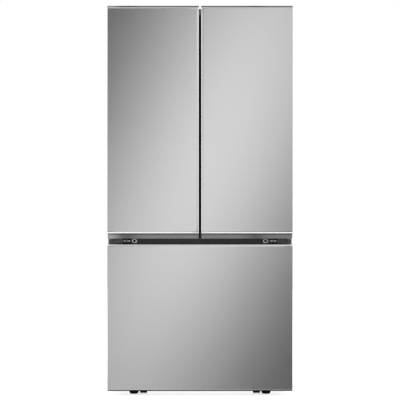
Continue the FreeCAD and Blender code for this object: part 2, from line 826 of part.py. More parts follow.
def make_drawer_inner():
    slab = panel_solids(-half_width, half_width, floor_gap + top_cap, drawer_top - drawer_cap_band)[1]
    low, high = freezer_floor + dyke_inset, freezer_ceiling - dyke_inset
    dyke = rounded(block(-room_half + 30, room_half - 30, door_back_y - 1, door_back_y + 16, low, high), 14,
                   lambda edge: runs_along(edge, FreeCAD.Vector(0, 1, 0)))
    return joined([slab, dyke])


def make_drawer_caps():
    x0, x1 = -half_width + skin_thickness, half_width - skin_thickness
    low = drawer_top - drawer_cap_band
    top = front_rounded(block(x0, x1, front_y + skin_thickness, door_back_y, low, drawer_top - 0.5),
                        skin_radius + hem_fold, front_y + skin_thickness)
    top = rounded(top, skin_radius + hem_fold - 0.5, lambda edge: edge.CenterOfMass.z > drawer_top - 0.6
                  and edge.CenterOfMass.y < front_y + pocket_front / 2)
    pocket = block(x0 + pocket_margin, x1 - pocket_margin, front_y + drawer_pocket_front,
                   front_y + drawer_pocket_front + drawer_pocket_width,
                   drawer_top - drawer_pocket_depth, drawer_top + 1)
    pocket = rounded(pocket, 6, lambda edge: edge.CenterOfMass.z < drawer_top - drawer_pocket_depth + 0.1)
    strip_y = front_y + base_strip_recess
    bottom = front_rounded(block(-half_width, half_width, strip_y, door_back_y, floor_gap, floor_gap + top_cap),
                           skin_radius, strip_y)
    return Part.makeCompound([top.cut(pocket), bottom])


def make_drawer_gasket():
    low = freezer_floor - seal_width - seal_inset + 4
    high = freezer_ceiling + seal_width + 2
    return seal_ring(-hinge_x + 4, hinge_x - 4, low, high)


def rail_bar(x, start, length, height):
    # A rail's bar on the left, x being its inner face
    middle = rail_bottom + rail_height / 2
    bar = block(-x - rail_thickness, -x, start, start + length, middle - height / 2, middle + height / 2)
    groove = block(-x - rail_groove, -x + 1, start + rail_groove_end, start + length - rail_groove_end,
                   middle - height / 4, middle + height / 4)
    return bar.cut(groove)


def make_rails_outer():
    bar = rail_bar(rail_outer_x, rail_front_y, rail_length, rail_height)
    return Part.makeCompound([bar, mirrored(bar)])


def make_rail_middle():
    return rail_bar(rail_middle_x, rail_front_y, rail_length - middle_rail_shorter, rail_height - rail_step)


def make_basket_frame():
    start = door_back_y + tab_setback
    end = start + rail_length - inner_rail_shorter
    pieces = []
    for side in ("left", "right"):
        bar = rail_bar(rail_inner_x, start, rail_length - inner_rail_shorter, rail_inner_height)
        tab = block(-rail_inner_x - rail_thickness, -rail_inner_x + tab_width, start + 0.2, start + tab_thickness,
                    rail_bottom - tab_drop, rail_bottom + rail_height)
        pieces.append(on_side(bar, side))
        pieces.append(on_side(tab, side))
    cross_z = rail_bottom + rail_step
    cross_y = end - cross_setback
    pieces.append(block(-rail_inner_x - 1, rail_inner_x + 1, cross_y, cross_y + cross_thickness,
                        cross_z, cross_z + cross_height))
    return joined(pieces)


def make_freezer_basket():
    x = rail_inner_x - 10
    y0 = door_back_y + 26
    rim_z = rail_bottom + rail_height / 2 + rail_inner_height / 2 + basket_wall + 0.1
    tub = open_box(-x, x, y0, y0 + basket_length, basket_bottom, rim_z, basket_wall, 24)
    pieces = [tub]
    for side in ("left", "right"):
        pieces.append(on_side(block(-rail_inner_x - 5, -x + 1, y0 + 24, y0 + basket_length - 24,
                                    rim_z - basket_wall, rim_z), side))
    return joined(pieces)


def make_freezer_tray():
    x = room_half - 30
    y0 = case_y + 22
    tub = open_box(-x, x, y0, y0 + tray_length, tray_bottom, tray_bottom + tray_height, basket_wall, 20)
    pieces = [tub]
    ledge_top = tray_bottom + 20
    for side in ("left", "right"):
        pieces.append(on_side(block(-room_half + 2, -x + 1, y0 + 24, y0 + tray_length - 24,
                                    ledge_top + 0.4, ledge_top + 4.4), side))
    return joined(pieces)


# Fridge interior

def half_shelf(height):
    x0, x1 = -room_half + 1, -shelf_middle_gap / 2
    y0, y1 = shelf_front, room_back - 16
    z0, z1 = height - shelf_thickness + 0.3, height
    frame = block(x0, x1, y0, y1, z0, z1)
    nose = block(x0, x1, y0 - shelf_nose_reach, y0 + 8, z0 - shelf_nose_drop, z1)
    nose = rounded(nose, 3, lambda edge: edge.CenterOfMass.y < y0 - shelf_nose_reach + 1)
    seat = block(x0 + shelf_rim, x1 - shelf_rim, y0 + shelf_rim, y1 - shelf_rim, z0 - 8, z1 + 1)
    bed = shelf_rim - glass_bed
    pane = block(x0 + bed, x1 - bed, y0 + bed, y1 - bed, z1 - glass_thickness, z1)
    return joined([frame, nose]).cut(seat).cut(pane), pane


def make_shelves(side, heights):
    frames, panes = [], []
    for height in heights:
        frame, pane = half_shelf(height)
        frames.append(on_side(frame, side))
        panes.append(on_side(pane, side))
    return Part.makeCompound(frames), Part.makeCompound(panes)


def make_crisper_cover():
    x0, x1 = -room_half + 1, room_half - 1
    y0, y1 = shelf_front, room_back - 1
    z0, z1 = crisper_cover_height - shelf_thickness + 0.3, crisper_cover_height
    frame = block(x0, x1, y0, y1, z0, z1)
    nose = block(x0, x1, y0 - shelf_nose_reach, y0 + 8, z0 - shelf_nose_drop - 2, z1)
    nose = rounded(nose, 3, lambda edge: edge.CenterOfMass.y < y0 - shelf_nose_reach + 1)
    seat = block(x0 + shelf_rim, x1 - shelf_rim, y0 + shelf_rim, y1 - shelf_rim, z0 - 9, z1 + 1)
    bed = shelf_rim - glass_bed
    pane = block(x0 + bed, x1 - bed, y0 + bed, y1 - bed, z1 - glass_thickness, z1)
    beam = block(-6, 6, y0, y1, z0, z1 - glass_thickness)
    post = block(-3, 3, y0 + 20, y1, fridge_floor + 0.5, z0 + 1)
    return joined([frame, nose]).cut(seat).cut(pane).fuse([beam, post]).removeSplitter(), pane


def crisper_box():
    y1 = crisper_front + crisper_length
    z1 = crisper_cover_height - shelf_thickness - 12
    return (-room_half + crisper_side_gap, -crisper_middle_gap / 2, crisper_front, y1,
            fridge_floor + 0.5, z1)


def make_crisper():
    x0, x1, y0, y1, z0, z1 = crisper_box()
    tub = open_box(x0, x1, y0, y1, z0, z1, crisper_wall, crisper_corner_radius)
    left, right, low = x0 + grip_inset, x1 - grip_inset, z1 - 4 - grip_height
    grip = rounded(block(left, right, y0 - grip_reach, y0 + 1, low, z1 - 4), 5,
                   lambda edge: edge.CenterOfMass.y < y0 - grip_reach + 1)
    scoop = block(left + 4, right - 4, y0 - grip_reach + 5, y0 - 1.5, low - 1, z1 - 10)
    return joined([tub, grip.cut(scoop)])


# Build and write every piece

os.makedirs("parts", exist_ok=True)

fridge_room, fridge_shell = make_liner(fridge_floor, fridge_ceiling, [(room_back, fridge_floor)])
freezer_room, freezer_shell = make_liner(freezer_floor, freezer_ceiling,
                                         [(step_y, freezer_floor), (room_back, step_top)])
mullion_rail = make_mullion_rail()

save("wrapper", make_wrapper())
save("back_panel", make_back_panel())
save("base_pan", make_base_pan())
save("cabinet_foam", make_foam([fridge_shell, freezer_shell], mullion_rail))
save("fridge_liner", make_fridge_liner(fridge_room, fridge_shell))
save("freezer_liner", make_freezer_liner(freezer_room, freezer_shell))
save("mullion_rail", mullion_rail)
save("machine_cover", make_machine_cover())
save("compressor", make_compressor())
save("condenser", make_condenser())
save("condenser_fan", make_condenser_fan())
save("evaporator_cover", make_evaporator_cover())
save("evaporator_fan", make_evaporator_fan())
save("air_duct", make_air_duct())
save("ceiling_lamp", make_ceiling_lamp())
save("front_leg_beam", make_front_leg_beam())
save("rails_outer", make_rails_outer())

for side in ("left", "right"):
    save("hinge_top_" + side, on_side(make_top_hinge(), side))
    save("hinge_cover_" + side, on_side(make_hinge_cover(), side))
    save("hinge_middle_" + side, on_side(make_middle_hinge(), side))
    save("levelling_foot_" + side, on_side(make_levelling_foot(), side))
    front_roller = make_roller(-front_roller_x, front_leg_y, front_roller_radius, front_roller_width,
                               front_roller_lift + front_roller_radius)
    rear_roller = make_roller(-rear_roller_x, rear_roller_y, rear_roller_radius, rear_roller_width,
                              rear_roller_radius)
    save("front_roller_" + side, on_side(front_roller, side))
    save("rear_roller_" + side, on_side(rear_roller, side))
    save("rail_middle_" + side, on_side(make_rail_middle(), side))
    save("crisper_" + side, on_side(make_crisper(), side))
    save("door_skin_" + side, on_side(make_door_skin(), side))
    save("door_caps_" + side, on_side(make_door_caps(), side))
    save("door_gasket_" + side, on_side(make_door_gasket(), side))
    save("door_bin_upper_" + side, on_side(make_door_bin(upper_bin_z, upper_bin_height), side))
    save("door_bin_lower_" + side, on_side(make_door_bin(lower_bin_z, lower_bin_height), side))

door_inner = make_door_inner()
save("door_inner_left", joined([door_inner] + make_mullion_arms()))
save("door_inner_right", joined([mirrored(door_inner)] + make_lid_pins()))
save("flip_mullion", make_flip_mullion())
save("dairy_lid", make_dairy_lid())

for side, heights in (("left", left_shelf_heights), ("right", right_shelf_heights)):
    frames, panes = make_shelves(side, heights)
    save("shelf_frames_" + side, frames)
    save("shelf_glass_" + side, panes)
cover_frame, cover_pane = make_crisper_cover()
save("crisper_cover", cover_frame)
save("crisper_glass", cover_pane)

save("drawer_skin", make_drawer_skin())
save("drawer_inner", make_drawer_inner())
save("drawer_caps", make_drawer_caps())
save("drawer_gasket", make_drawer_gasket())
save("basket_frame", make_basket_frame())
save("freezer_basket", make_freezer_basket())
save("freezer_tray", make_freezer_tray())
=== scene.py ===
import bmesh
import bpy
import json
import math
import numpy as np
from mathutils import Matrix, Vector


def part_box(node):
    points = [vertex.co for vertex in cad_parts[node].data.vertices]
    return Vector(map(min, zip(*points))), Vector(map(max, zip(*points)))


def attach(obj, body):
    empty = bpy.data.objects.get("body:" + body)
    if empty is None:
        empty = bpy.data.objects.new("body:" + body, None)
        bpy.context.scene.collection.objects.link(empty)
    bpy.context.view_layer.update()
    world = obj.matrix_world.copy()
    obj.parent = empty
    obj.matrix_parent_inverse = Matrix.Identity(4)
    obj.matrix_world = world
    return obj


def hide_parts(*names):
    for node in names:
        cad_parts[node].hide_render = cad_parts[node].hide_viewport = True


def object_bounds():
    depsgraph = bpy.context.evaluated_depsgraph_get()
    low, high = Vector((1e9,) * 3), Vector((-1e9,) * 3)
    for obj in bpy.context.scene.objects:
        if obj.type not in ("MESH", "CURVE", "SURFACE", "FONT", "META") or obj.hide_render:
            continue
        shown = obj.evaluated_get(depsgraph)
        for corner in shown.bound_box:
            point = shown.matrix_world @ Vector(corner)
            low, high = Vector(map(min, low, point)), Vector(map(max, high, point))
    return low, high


# French door refrigerator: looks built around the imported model, in metres, +Z up, front towards -Y
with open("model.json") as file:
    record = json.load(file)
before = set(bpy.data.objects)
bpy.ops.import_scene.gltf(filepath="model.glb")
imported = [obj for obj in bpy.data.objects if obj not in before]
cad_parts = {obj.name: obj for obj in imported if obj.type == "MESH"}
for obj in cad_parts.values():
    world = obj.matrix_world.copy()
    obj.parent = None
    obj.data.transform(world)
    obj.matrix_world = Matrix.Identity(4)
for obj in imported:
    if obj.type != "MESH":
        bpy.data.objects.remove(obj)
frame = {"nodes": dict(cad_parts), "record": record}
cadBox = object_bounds()
nodes = frame["nodes"]
sides = {"left": -1.0, "right": 1.0}
frontY = cadBox[0][1]
print("frame loaded,", len(nodes), "nodes")


# shader helpers

class Link:
    # a node's output that grows Math nodes when it is used in an expression
    def __init__(self, paint, socket):
        self.paint = paint
        self.socket = socket

    def maths(self, operation, first, second):
        return self.paint.node("ShaderNodeMath", {"operation": operation}, {0: first, 1: second})

    def __add__(self, other):
        return self.maths("ADD", self, other)

    def __radd__(self, other):
        return self.maths("ADD", other, self)

    def __sub__(self, other):
        return self.maths("SUBTRACT", self, other)

    def __rsub__(self, other):
        return self.maths("SUBTRACT", other, self)

    def __mul__(self, other):
        return self.maths("MULTIPLY", self, other)

    def __rmul__(self, other):
        return self.maths("MULTIPLY", other, self)

    def __truediv__(self, other):
        return self.maths("DIVIDE", self, other)


class Paint:
    # one material's nodes
    def __init__(self, name, tree=None):
        self.material = None
        if tree is None:
            self.material = bpy.data.materials.new(name)
            self.material.use_nodes = True
            tree = self.material.node_tree
        tree.nodes.clear()
        self.tree = tree

    def node(self, kind, settings=None, sockets=None, output=0):
        new = self.tree.nodes.new(kind)
        for key, value in (settings or {}).items():
            setattr(new, key, value)
        for key, value in (sockets or {}).items():
            if isinstance(value, Link):
                self.tree.links.new(value.socket, new.inputs[key])
            else:
                new.inputs[key].default_value = value
        return Link(self, new.outputs[output])

    def place(self, scale=(1.0, 1.0, 1.0)):
        spot = self.node("ShaderNodeTexCoord", output="Object")
        return self.node("ShaderNodeMapping", {}, {"Vector": spot, "Scale": scale})

    def noise(self, place, scale, detail=2.0, roughness=0.5):
        return self.node("ShaderNodeTexNoise", {}, {"Vector": place, "Scale": scale, "Detail": detail,
                                                     "Roughness": roughness})

    def ramp(self, value, low, high):
        # 0 below low and 1 above high, with a soft step between them
        return self.node("ShaderNodeMapRange", {"interpolation_type": "SMOOTHSTEP"},
                         {"Value": value, "From Min": low, "From Max": high})

    def blendColour(self, factor, first, second):
        return self.node("ShaderNodeMix", {"data_type": "RGBA"},
                         {0: factor, 6: (*first, 1.0) if isinstance(first, tuple) else first,
                          7: (*second, 1.0) if isinstance(second, tuple) else second}, output=2)

    def bump(self, height, strength, distance, under=None):
        sockets = {"Height": height, "Strength": strength, "Distance": distance}
        if under is not None:
            sockets["Normal"] = under
        return self.node("ShaderNodeBump", {}, sockets)

    def close(self, shader, kind="ShaderNodeOutputMaterial"):
        output = self.tree.nodes.new(kind)
        self.tree.links.new(shader.socket, output.inputs["Surface"])
        return self.material

    def surface(self, sockets):
        return self.close(self.node("ShaderNodeBsdfPrincipled", {}, sockets))

    def glow(self, colour, strength):
        return self.close(self.node("ShaderNodeEmission", {}, {"Color": colour, "Strength": strength}))


def brushedSteel(name, look):
    # long fine scratches along x, a slow cloudiness in the polish and faint finger haze
    paint = Paint(name)
    stretch = (look["grainAlong"], look["grainAcross"], look["grainAcross"])
    grain = paint.noise(paint.place(stretch), 1.0, 3.0, 0.6)
    cloud = paint.noise(paint.place(), look["cloudScale"], 3.0, 0.55)
    colour = paint.blendColour(grain * 0.5 + cloud * 0.5, look["dark"], look["light"])
    roughness = look["roughness"] + (grain - 0.5) * look["grainRoughness"]
    roughness = roughness + (cloud - 0.5) * look["cloudRoughness"]
    normal = paint.bump(grain, look["bump"], look["grainHeight"])
    return paint.surface({"Base Color": colour, "Metallic": 1.0, "Roughness": roughness, "Normal": normal})


def paintedMetal(name, look):
    # fine orange peel with a little uneven gloss
    paint = Paint(name)
    peel = paint.noise(paint.place(), look["peelScale"], 2.0, 0.5)
    wear = paint.noise(paint.place(), 9.0, 4.0, 0.6)
    colour = paint.blendColour(wear, look["dark"], look["light"])
    roughness = look["roughness"] + (wear - 0.5) * 0.12
    normal = paint.bump(peel, look["bump"], 0.0004)
    return paint.surface({"Base Color": colour, "Roughness": roughness, "Normal": normal,
                          "Metallic": look.get("metallic", 0.0)})


def mouldedPlastic(name, look):
    # moulded surface: fine spark-eroded grain, slow shade changes and slightly duller patches
    paint = Paint(name)
    spark = paint.noise(paint.place(), look["grainScale"], 2.0, 0.6)
    shade = paint.noise(paint.place(), 5.0, 3.0, 0.5)
    colour = paint.blendColour(shade, look["dark"], look["light"])
    if "paintedShadePlaces" in look:
        # painted shade and painted highlight: darker pools at some x, 1 - depth exp(-((x - place) / width)^2),
        # stand in for the hinge's shade and dark reflections, and a lighter left end is a painted glint
        across = paint.node("ShaderNodeSeparateXYZ", {}, {0: paint.place()})
        paintedLightScale = paint.ramp(across * -1.0, 0.35, 0.40) * look["paintedEndHighlight"] + 1
        for place in look["paintedShadePlaces"]:
            away = (across - place) / look["paintedShadeWidth"]
            paintedShadePool = paint.node("ShaderNodeMath", {"operation": "EXPONENT"}, {0: away * away * -1.0})
            paintedLightScale = paintedLightScale - paintedShadePool * look["paintedShadeDepth"]
        colour = paint.node("ShaderNodeVectorMath", {"operation": "SCALE"}, {0: colour, "Scale": paintedLightScale})
    roughness = look["roughness"] + (shade - 0.5) * 0.08 + (spark - 0.5) * 0.05
    normal = paint.bump(spark, look["bump"], 0.0003)
    return paint.surface({"Base Color": colour, "Roughness": roughness, "Normal": normal,
                          "Coat Weight": look.get("coat", 0.0), "Coat Roughness": 0.12,
                          "Specular IOR Level": look.get("shine", 0.5)})


def clearPlastic(name, look):
    # see-through moulding: thin tint, faint flow marks, dust in the gloss
    paint = Paint(name)
    flow = paint.noise(paint.place((1.0, 1.0, 3.0)), 14.0, 3.0, 0.6)
    dust = paint.noise(paint.place(), 60.0, 2.0, 0.5)
    colour = paint.blendColour(flow, look["dark"], look["light"])
    return paint.surface({"Base Color": colour, "Roughness": look["roughness"] + (dust - 0.5) * 0.06,
                          "Alpha": look["alpha"] + (flow - 0.5) * 0.06, "IOR": 1.5,
                          "Normal": paint.bump(flow, 0.15, 0.0006)})


def galvanisedSheet(name, look):
    # zinc spangle: small flat cells, each its own grey and gloss
    paint = Paint(name)
    cells = paint.node("ShaderNodeTexVoronoi", {}, {"Vector": paint.place(), "Scale": look["spangleScale"]},
                       output="Color")
    spangle = paint.node("ShaderNodeSeparateColor", {}, {0: cells})
    stain = paint.noise(paint.place(), 7.0, 4.0, 0.6)
    colour = paint.blendColour(spangle * 0.6 + stain * 0.4, look["dark"], look["light"])
    return paint.surface({"Base Color": colour, "Metallic": 0.9, "Roughness": 0.36 + (spangle - 0.5) * 0.14,
                          "Normal": paint.bump(stain, 0.1, 0.0005)})


def rubber(name, look):
    # fine skin with a pale bloom in patches
    paint = Paint(name)
    skin = paint.noise(paint.place(), 420.0, 2.0, 0.6)
    bloom = paint.noise(paint.place(), 16.0, 4.0, 0.6)
    colour = paint.blendColour(bloom, look["dark"], look["light"])
    return paint.surface({"Base Color": colour, "Roughness": 0.62 + (bloom - 0.5) * 0.2,
                          "Normal": paint.bump(skin, 0.3, 0.0003)})


def lampLens(name, look):
    # frosted lens moulded in fine flutes over a row of lights, which are off while the doors are shut
    paint = Paint(name)
    rows = paint.node("ShaderNodeTexWave", {"bands_direction": "X"},
                      {"Vector": paint.place(), "Scale": 28.0, "Distortion": 0.0})
    glow = paint.blendColour(rows, look["dim"], look["bright"])
    return paint.surface({"Base Color": glow, "Roughness": 0.4 + rows * 0.1,
                          "Normal": paint.bump(rows, 0.3, 0.0008)})


def foamFill(name, look):
    # rough open cells
    paint = Paint(name)
    cells = paint.noise(paint.place(), 260.0, 3.0, 0.7)
    colour = paint.blendColour(cells, look["dark"], look["light"])
    return paint.surface({"Base Color": colour, "Roughness": 0.85 + (cells - 0.5) * 0.1,
                          "Normal": paint.bump(cells, 0.5, 0.001)})


def finGlass(name, look):
    # shelf glass with faint smears
    paint = Paint(name)
    smear = paint.noise(paint.place(), 8.0, 4.0, 0.6)
    colour = paint.blendColour(smear, look["dark"], look["light"])
    return paint.surface({"Base Color": colour, "Roughness": 0.03 + smear * 0.05, "IOR": 1.5,
                          "Alpha": look["alpha"] + (smear - 0.5) * 0.05})


steelLook = {"dark": (0.57, 0.57, 0.575), "light": (0.66, 0.66, 0.665), "roughness": 0.22,
             "grainRoughness": 0.08, "cloudRoughness": 0.05, "cloudScale": 3.5, "grainAlong": 9.0,
             "grainAcross": 1500.0, "grainHeight": 0.00004, "bump": 0.25}
casePaintLook = {"dark": (0.115, 0.118, 0.122), "light": (0.135, 0.138, 0.142), "peelScale": 900.0,
                 "roughness": 0.42, "bump": 0.35}
darkRailLook = {"dark": (0.035, 0.035, 0.037), "light": (0.05, 0.05, 0.053), "peelScale": 1200.0,
                "roughness": 0.38, "bump": 0.2}
hingeSteelLook = {"dark": (0.10, 0.10, 0.105), "light": (0.15, 0.15, 0.155), "peelScale": 1500.0,
                  "roughness": 0.36, "bump": 0.2, "metallic": 0.8}
boltLook = {"dark": (0.45, 0.45, 0.46), "light": (0.62, 0.62, 0.63), "peelScale": 2400.0, "roughness": 0.24,
            "bump": 0.15, "metallic": 1.0}
compressorLook = {"dark": (0.015, 0.015, 0.016), "light": (0.03, 0.03, 0.031), "peelScale": 700.0,
                  "roughness": 0.34, "bump": 0.4}
coilLook = {"dark": (0.45, 0.46, 0.47), "light": (0.6, 0.61, 0.62), "peelScale": 1100.0, "roughness": 0.4,
            "bump": 0.3, "metallic": 1.0}
capLook = {"dark": (0.098, 0.098, 0.101), "light": (0.118, 0.118, 0.121), "grainScale": 1800.0,
           "roughness": 0.26, "bump": 0.06, "coat": 0.3,
           # painted shade pools on the caps and a painted highlight on their left end
           "paintedShadePlaces": (-0.325, 0.25), "paintedShadeWidth": 0.042, "paintedShadeDepth": 0.5, "paintedEndHighlight": 0.9}
linerLook = {"dark": (0.80, 0.815, 0.83), "light": (0.85, 0.86, 0.87), "grainScale": 900.0, "roughness": 0.24,
             "bump": 0.05, "coat": 0.2}
trimLook = {"dark": (0.70, 0.71, 0.72), "light": (0.76, 0.77, 0.78), "grainScale": 1300.0, "roughness": 0.34,
            "bump": 0.12}
blackLook = {"dark": (0.012, 0.012, 0.012), "light": (0.022, 0.022, 0.022), "grainScale": 1600.0,
             "roughness": 0.42, "bump": 0.15}
footLook = {"dark": (0.0015, 0.0015, 0.0015), "light": (0.003, 0.003, 0.003), "grainScale": 1600.0,
            "roughness": 0.7, "bump": 0.2, "shine": 0.06}
mullionLook = {"dark": (0.13, 0.13, 0.135), "light": (0.16, 0.16, 0.165), "grainScale": 1500.0,
               "roughness": 0.38, "bump": 0.12}
tubLook = {"dark": (0.74, 0.78, 0.81), "light": (0.82, 0.85, 0.87), "roughness": 0.22, "alpha": 0.72}
binLook = {"dark": (0.78, 0.84, 0.87), "light": (0.88, 0.92, 0.94), "roughness": 0.10, "alpha": 0.34}
glassLook = {"dark": (0.55, 0.68, 0.66), "light": (0.66, 0.78, 0.75), "alpha": 0.28}
gasketLook = {"dark": (0.045, 0.045, 0.047), "light": (0.06, 0.06, 0.062)}
zincLook = {"dark": (0.42, 0.43, 0.44), "light": (0.60, 0.61, 0.62), "spangleScale": 130.0}
lampLook = {"dim": (0.78, 0.81, 0.84), "bright": (0.90, 0.92, 0.94)}
foamLook = {"dark": (0.62, 0.50, 0.24), "light": (0.80, 0.68, 0.38)}

finishes = {
    "steel_front": brushedSteel("brushedSteel", steelLook),
    "cabinet_paint": paintedMetal("casePaint", casePaintLook),
    "dark_rail": paintedMetal("darkRail", darkRailLook),
    "hinge_steel": paintedMetal("hingeSteel", hingeSteelLook),
    "bolt_steel": paintedMetal("boltSteel", boltLook),
    "compressor_black": paintedMetal("compressorPaint", compressorLook),
    "coil_metal": paintedMetal("coilAluminium", coilLook),
    "cap_grey": mouldedPlastic("capPlastic", capLook),
    "liner_white": mouldedPlastic("linerPlastic", linerLook),
    "shelf_trim": mouldedPlastic("shelfTrim", trimLook),
    "black_plastic": mouldedPlastic("blackPlastic", blackLook),
    "foot_black": mouldedPlastic("footPlastic", footLook),
    "tyre_black": mouldedPlastic("rollerPlastic", footLook),
    "recess_black": mouldedPlastic("recessPlastic", footLook),
    "mullion_grey": mouldedPlastic("mullionPlastic", mullionLook),
    "tub_white": clearPlastic("frostedTub", tubLook),
    "clear_plastic": clearPlastic("clearBin", binLook),
    "shelf_glass": finGlass("shelfGlass", glassLook),
    "gasket": rubber("gasketRubber", gasketLook),
    "galvanised": galvanisedSheet("galvanised", zincLook),
    "lamp_white": lampLens("lampLens", lampLook),
    "foam": foamFill("foamFill", foamLook),
}
for entry in frame["record"]["subparts"]:
    skin = nodes[entry["node"]].data
    skin.materials.clear()
    skin.materials.append(finishes[entry["material_slot"]])
print("finishes made,", len(finishes))


# mesh helpers: a shape is (points, quads), joined and given to one object

def gridShape(points, wrapRows=False, wrapColumns=False):
    # quads between neighbouring points of a rows x columns grid
    rows, columns = points.shape[:2]
    index = np.arange(rows * columns).reshape(rows, columns)
    if wrapRows:
        index = np.vstack([index, index[:1]])
    if wrapColumns:
        index = np.hstack([index, index[:, :1]])
    quads = np.stack([index[:-1, :-1], index[:-1, 1:], index[1:, 1:], index[1:, :-1]], axis=-1)
    return points.reshape(-1, 3), quads.reshape(-1, 4)


def mergeShapes(shapes):
    # one list of points, with each shape's faces counted on from the points before them
    points, faces, start = [], [], 0
    for shapePoints, shapeFaces in shapes:
        points.append(shapePoints)
        faces += (np.asarray(shapeFaces) + start).tolist()
        start += len(shapePoints)
    return np.vstack(points), faces


def addPiece(name, shapes, finish, body, replaced=(), sharp=35.0):
    # one finished object: smooth but for edges past sharp degrees, riding its body and filling its slot
    points, faces = mergeShapes(shapes)
    mesh = bpy.data.meshes.new(name)
    mesh.from_pydata(points.tolist(), [], faces)
    mesh.validate()
    work = bmeshClean(mesh)
    work.materials.append(finishes[finish])
    piece = bpy.data.objects.new(name, work)
    bpy.context.scene.collection.objects.link(piece)
    work.shade_smooth()
    work.set_sharp_from_angle(angle=math.radians(sharp))
    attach(piece, body)
    if replaced:
        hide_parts(*replaced)
    return piece


def bmeshClean(mesh):
    # merges doubled points, drops faces with no area and turns the faces outwards
    work = bmesh.new()
    work.from_mesh(mesh)
    bmesh.ops.remove_doubles(work, verts=work.verts, dist=1e-6)
    bmesh.ops.dissolve_degenerate(work, dist=1e-7, edges=work.edges)
    bmesh.ops.recalc_face_normals(work, faces=work.faces)
    work.to_mesh(mesh)
    work.free()
    return mesh


def revolve(profile, centre, axis, segments=48):
    # profile (radius r, height h) turned about an axis through centre:
    # point = centre + r cos a first + r sin a second + h axis
    axis = np.array(axis, float)
    side = np.cross(axis, (0.0, 0.0, 1.0))
    first = side / np.linalg.norm(side) if np.linalg.norm(side) > 0.1 else np.array((1.0, 0.0, 0.0))
    second = np.cross(axis, first)
    angle = np.linspace(0, 2 * math.pi, segments, endpoint=False)
    radius, height = np.array(profile, float).T
    points = np.array(centre) + height[:, None, None] * axis + radius[:, None, None] * (
        np.cos(angle)[None, :, None] * first + np.sin(angle)[None, :, None] * second)
    return gridShape(points, wrapColumns=True)


def block(low, high, radius, steps=4):
    # rounded box: a ball cut in eight and pushed out to the corners,
    # point = middle + sign of d (half - radius) + radius d, for every direction d
    low, high = np.array(low, float), np.array(high, float)
    half, middle = (high - low) / 2, (high + low) / 2
    radius = min(radius, *(half * 0.98))
    turn = np.concatenate([np.linspace(k * math.pi / 2, (k + 1) * math.pi / 2, steps) for k in range(4)])
    quadrant = np.repeat(np.arange(4), steps)
    tilt = np.concatenate([np.linspace(-math.pi / 2, 0, steps), np.linspace(0, math.pi / 2, steps)])
    lift = np.repeat([-1.0, 1.0], steps)
    signX = np.where((quadrant == 0) | (quadrant == 3), 1.0, -1.0)
    signY = np.where(quadrant < 2, 1.0, -1.0)
    ball = np.stack([np.cos(tilt)[:, None] * np.cos(turn)[None], np.cos(tilt)[:, None] * np.sin(turn)[None],
                     np.repeat(np.sin(tilt)[:, None], len(turn), 1)], axis=-1)
    sign = np.stack([np.repeat(signX[None], len(tilt), 0), np.repeat(signY[None], len(tilt), 0),
                     np.repeat(lift[:, None], len(turn), 1)], axis=-1)
    points = middle + sign * (half - radius) + radius * ball
    ends = [points[:1].mean(axis=1, keepdims=True).repeat(points.shape[1], 1),
            points[-1:].mean(axis=1, keepdims=True).repeat(points.shape[1], 1)]
    return gridShape(np.concatenate([ends[0], points, ends[1]]), wrapColumns=True)


def spanOf(node):
    # lowest and highest corner of a CAD node
    low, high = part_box(node)
    return np.array(low), np.array(high)


def offsetPath(points, outward, offset):
    # points moved along their outward directions; offset may differ from point to point
    return points + np.asarray(offset)[..., None] * outward


def rimPath(x0, x1, v0, v1, radius, spacing=0.03, cornerSteps=7):
    # rounded rectangle, anticlockwise: corner arcs c + r (cos a, sin a) joined by evenly split straight sides
    points, outward = [], []
    corners = [(x1 - radius, v1 - radius), (x0 + radius, v1 - radius),
               (x0 + radius, v0 + radius), (x1 - radius, v0 + radius)]
    for k, corner in enumerate(corners):
        angle = np.radians(90 * k + np.linspace(0, 90, cornerSteps))
        way = np.stack([np.cos(angle), np.sin(angle)], axis=-1)
        arc = np.array(corner) + radius * way
        after = np.array(corners[(k + 1) % 4]) + radius * way[-1]
        count = max(1, int(round(np.linalg.norm(after - arc[-1]) / spacing)))
        share = np.linspace(0, 1, count, endpoint=False)[1:, None]
        points += [arc, arc[-1] + share * (after - arc[-1])]
        outward += [way, np.repeat(way[-1:], count - 1, 0)]
    return np.vstack(points), np.vstack(outward)


def addStops(points, outward, stops):
    # extra points on the straight sides, each put where the detour |p - s| + |s - q| - |q - p| is least
    for stop in stops:
        after = np.roll(points, -1, axis=0)
        detour = (np.linalg.norm(points - stop, axis=1) + np.linalg.norm(after - stop, axis=1)
                  - np.linalg.norm(after - points, axis=1))
        spot = int(np.argmin(detour)) + 1
        points = np.insert(points, spot, stop, axis=0)
        outward = np.insert(outward, spot, outward[spot - 1], axis=0)
    return points, outward


def alongPath(points):
    # distance run along a closed path up to each point
    step = np.linalg.norm(np.roll(points, -1, axis=0) - points, axis=1)
    return np.concatenate([[0.0], np.cumsum(step)[:-1]])


def stackRings(rings, levels, plane, closeLow=False, closeHigh=False):
    # rings of (a, b) points at given levels; plane says which axes a, b and the level run along
    grid = np.zeros((len(rings), len(rings[0]), 3))
    first, second, third = plane
    grid[:, :, first] = np.array([ring[:, 0] for ring in rings])
    grid[:, :, second] = np.array([ring[:, 1] for ring in rings])
    grid[:, :, third] = np.array(levels).reshape(len(rings), -1)
    if closeLow:
        middle = grid[:1].mean(axis=1, keepdims=True).repeat(grid.shape[1], 1)
        grid = np.concatenate([middle, grid])
    if closeHigh:
        middle = grid[-1:].mean(axis=1, keepdims=True).repeat(grid.shape[1], 1)
        grid = np.concatenate([grid, middle])
    return gridShape(grid, wrapColumns=True)


flat = (0, 1, 2)       # rings lie flat and levels run up
standing = (0, 2, 1)   # rings stand and levels run back


